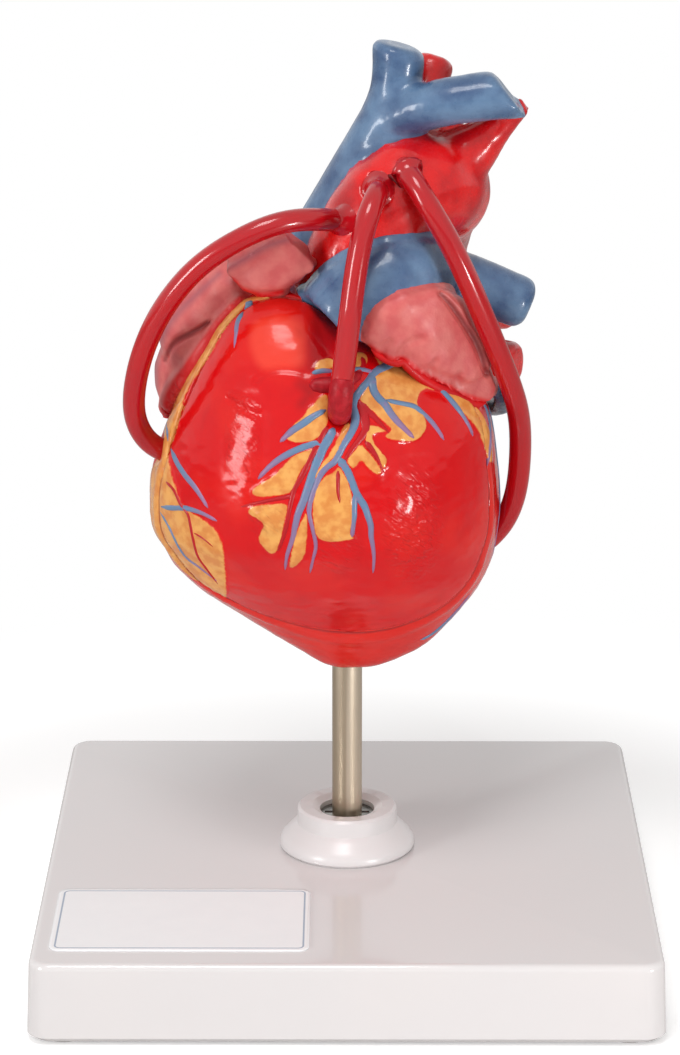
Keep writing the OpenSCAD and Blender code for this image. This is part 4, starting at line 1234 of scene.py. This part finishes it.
# Pale plastic of the leaflets, pegs and sockets.
ivory = clouded("inner_ivory", 0.4, (IVORY, srgb(222, 190, 166)), (2, 4, 0.35, 0.7), [(0.8, 3, 0.04)])
# Dull zinc-plated spring steel.
zinc = clouded("washer_zinc", 0.24, (srgb(84, 83, 80), srgb(140, 137, 132)), (2, 3, 0.3, 0.7), [(0.5, 2, 0.02)],
               metallic=1.0)

skin = eased_ventricles()
front = ventricle_piece("front_wall", WALL_MESH, skin)
rear = ventricle_piece("rear_casing", CASING_MESH, skin)
finish_piece(front, muscle, "front_piece", "muscle_red", "front_wall")
finish_piece(rear, muscle, "heart", "muscle_red", "rear_casing")
walls = {"front_wall": (front, "front_piece"), "rear_casing": (rear, "heart")}
laid_lines("surface_veins", painted_line_finish("surface_vein_blue", BLUE, PURPLE), [
    (FRONT, FRONT_VEINS), (BEHIND, BEHIND_VEINS), (LEFT_SIDE, SIDE_VEINS)], walls, VEIN_HEIGHT, "vein_blue")
laid_lines("surface_arteries", painted_line_finish("surface_artery_red", CRIMSON, DEEP_RED), [
    (FRONT, FRONT_ARTERIES), (BEHIND, BEHIND_ARTERIES), (LEFT_SIDE, SIDE_ARTERIES)], walls, ARTERY_HEIGHT,
    "artery_red")
bpy.data.objects.remove(skin)

# Node, mesh size and rounds of easing of each moulding.
made = {}
for node, size, rounds, material, slot in (
    ("aorta", 0.8 * MM, 90, artery, "artery_red"),
    ("superior_vena_cava", 0.8 * MM, 80, blue, "vein_blue"),
    ("inferior_vena_cava", 0.8 * MM, 50, blue, "vein_blue"),
    ("pulmonary_artery", 0.8 * MM, 80, blue, "vein_blue"),
    ("pulmonary_veins", 0.7 * MM, 50, artery, "artery_red"),
    ("coronary_sinus", 0.6 * MM, 30, blue, "vein_blue"),
):
    made[node] = moulded(node, size, rounds)
    if node == "superior_vena_cava":
        slant_top(made[node], 9 * MM, 0.24)
    finish_piece(made[node], material, "heart", slot, node)
for node, size, rounds, marks in (
    ("right_atrium", 0.8 * MM, 40, {
        "grooves": ATRIUM_GROOVES, "band": ATRIUM_BAND, "red": ATRIUM_BAND, "crease_shade": ATRIUM_GROOVES,
        "shadow_lines": ATRIUM_PAINTED_SHADOW}),
    ("right_auricle", 0.5 * MM, 12, {
        "red": RIGHT_AURICLE_RIM, "shadow_lines": RIGHT_AURICLE_PAINTED_SHADOW, "plate": (RIGHT_AURICLE, right_auricle_face)}),
    ("left_atrium", 0.9 * MM, 40, {}),
    ("left_auricle", 0.5 * MM, 12, {
        "grooves": LEFT_AURICLE_GROOVES, "pleats": LEFT_AURICLE_PLEATS, "red": LEFT_AURICLE_RIM,
        "crease_shade": LEFT_AURICLE_GROOVES, "plate": (LEFT_AURICLE, left_auricle_face)}),
):
    finish_piece(atrial_piece(node, size, rounds, **marks), pink, "heart", "atrium_pink", node)
for node, body in (("graft_right", "heart"), ("graft_left", "heart"), ("graft_front", "front_piece")):
    finish_piece(graft_piece(node), crimson, body, "graft_red", node)
rim = rim_roll("left_auricle_rim", LEFT_RIM_ROLL, left_auricle_face, 0.7)
finish_piece(rim, vessel_finish("auricle_rim_red", RED, DEEP_RED, 0.5, 0.05), "heart", "artery_red")
finish_piece(graft_end_piece(), sewn_crimson, "front_piece", "graft_red")
laid_lines("graft_host_artery", sewn_crimson, [(FRONT, [HOST_ARTERY])], {"front_wall": walls["front_wall"]},
           HOST_HEIGHT, "graft_red")
aorta_skin = tree_of(made["aorta"])
for name, centre, direction, body, radius in (
    ("right", (-9, -18.8, 95.2), (-6, -4.3, 1.0), "heart", 2.15),
    ("left", (12.4, -17.2, 102.2), (1.4, -3.7, -1.4), "heart", 2.15),
    ("front", (5.6, -16.5, 99.7), (-0.1, -1, 0), "front_piece", 2.25),
):
    root = graft_root(f"graft_{name}_root", aorta_skin, centre, direction, radius)
    finish_piece(root, crimson, body, "graft_red")
finish_piece(label_piece(), label_finish(), "stand", "label_film", "blank_label")

dress_node("base_plate", base_finish("base_moulded_white", 0.15, 0.3, 0.04))
dress_node("rod_collar", base_finish("collar_moulded_white", 0.3, 0.12, 0.14))
dress_node("base_feet", rubber_finish())
dress_node("lock_washer", zinc)
dress_node("support_rod", rod_finish())
for node in ("rod_socket", "peg_sockets", "wall_pegs", "tricuspid_valve", "mitral_valve", "aortic_valve",
             "pulmonary_valve"):
    dress_node(node, ivory)
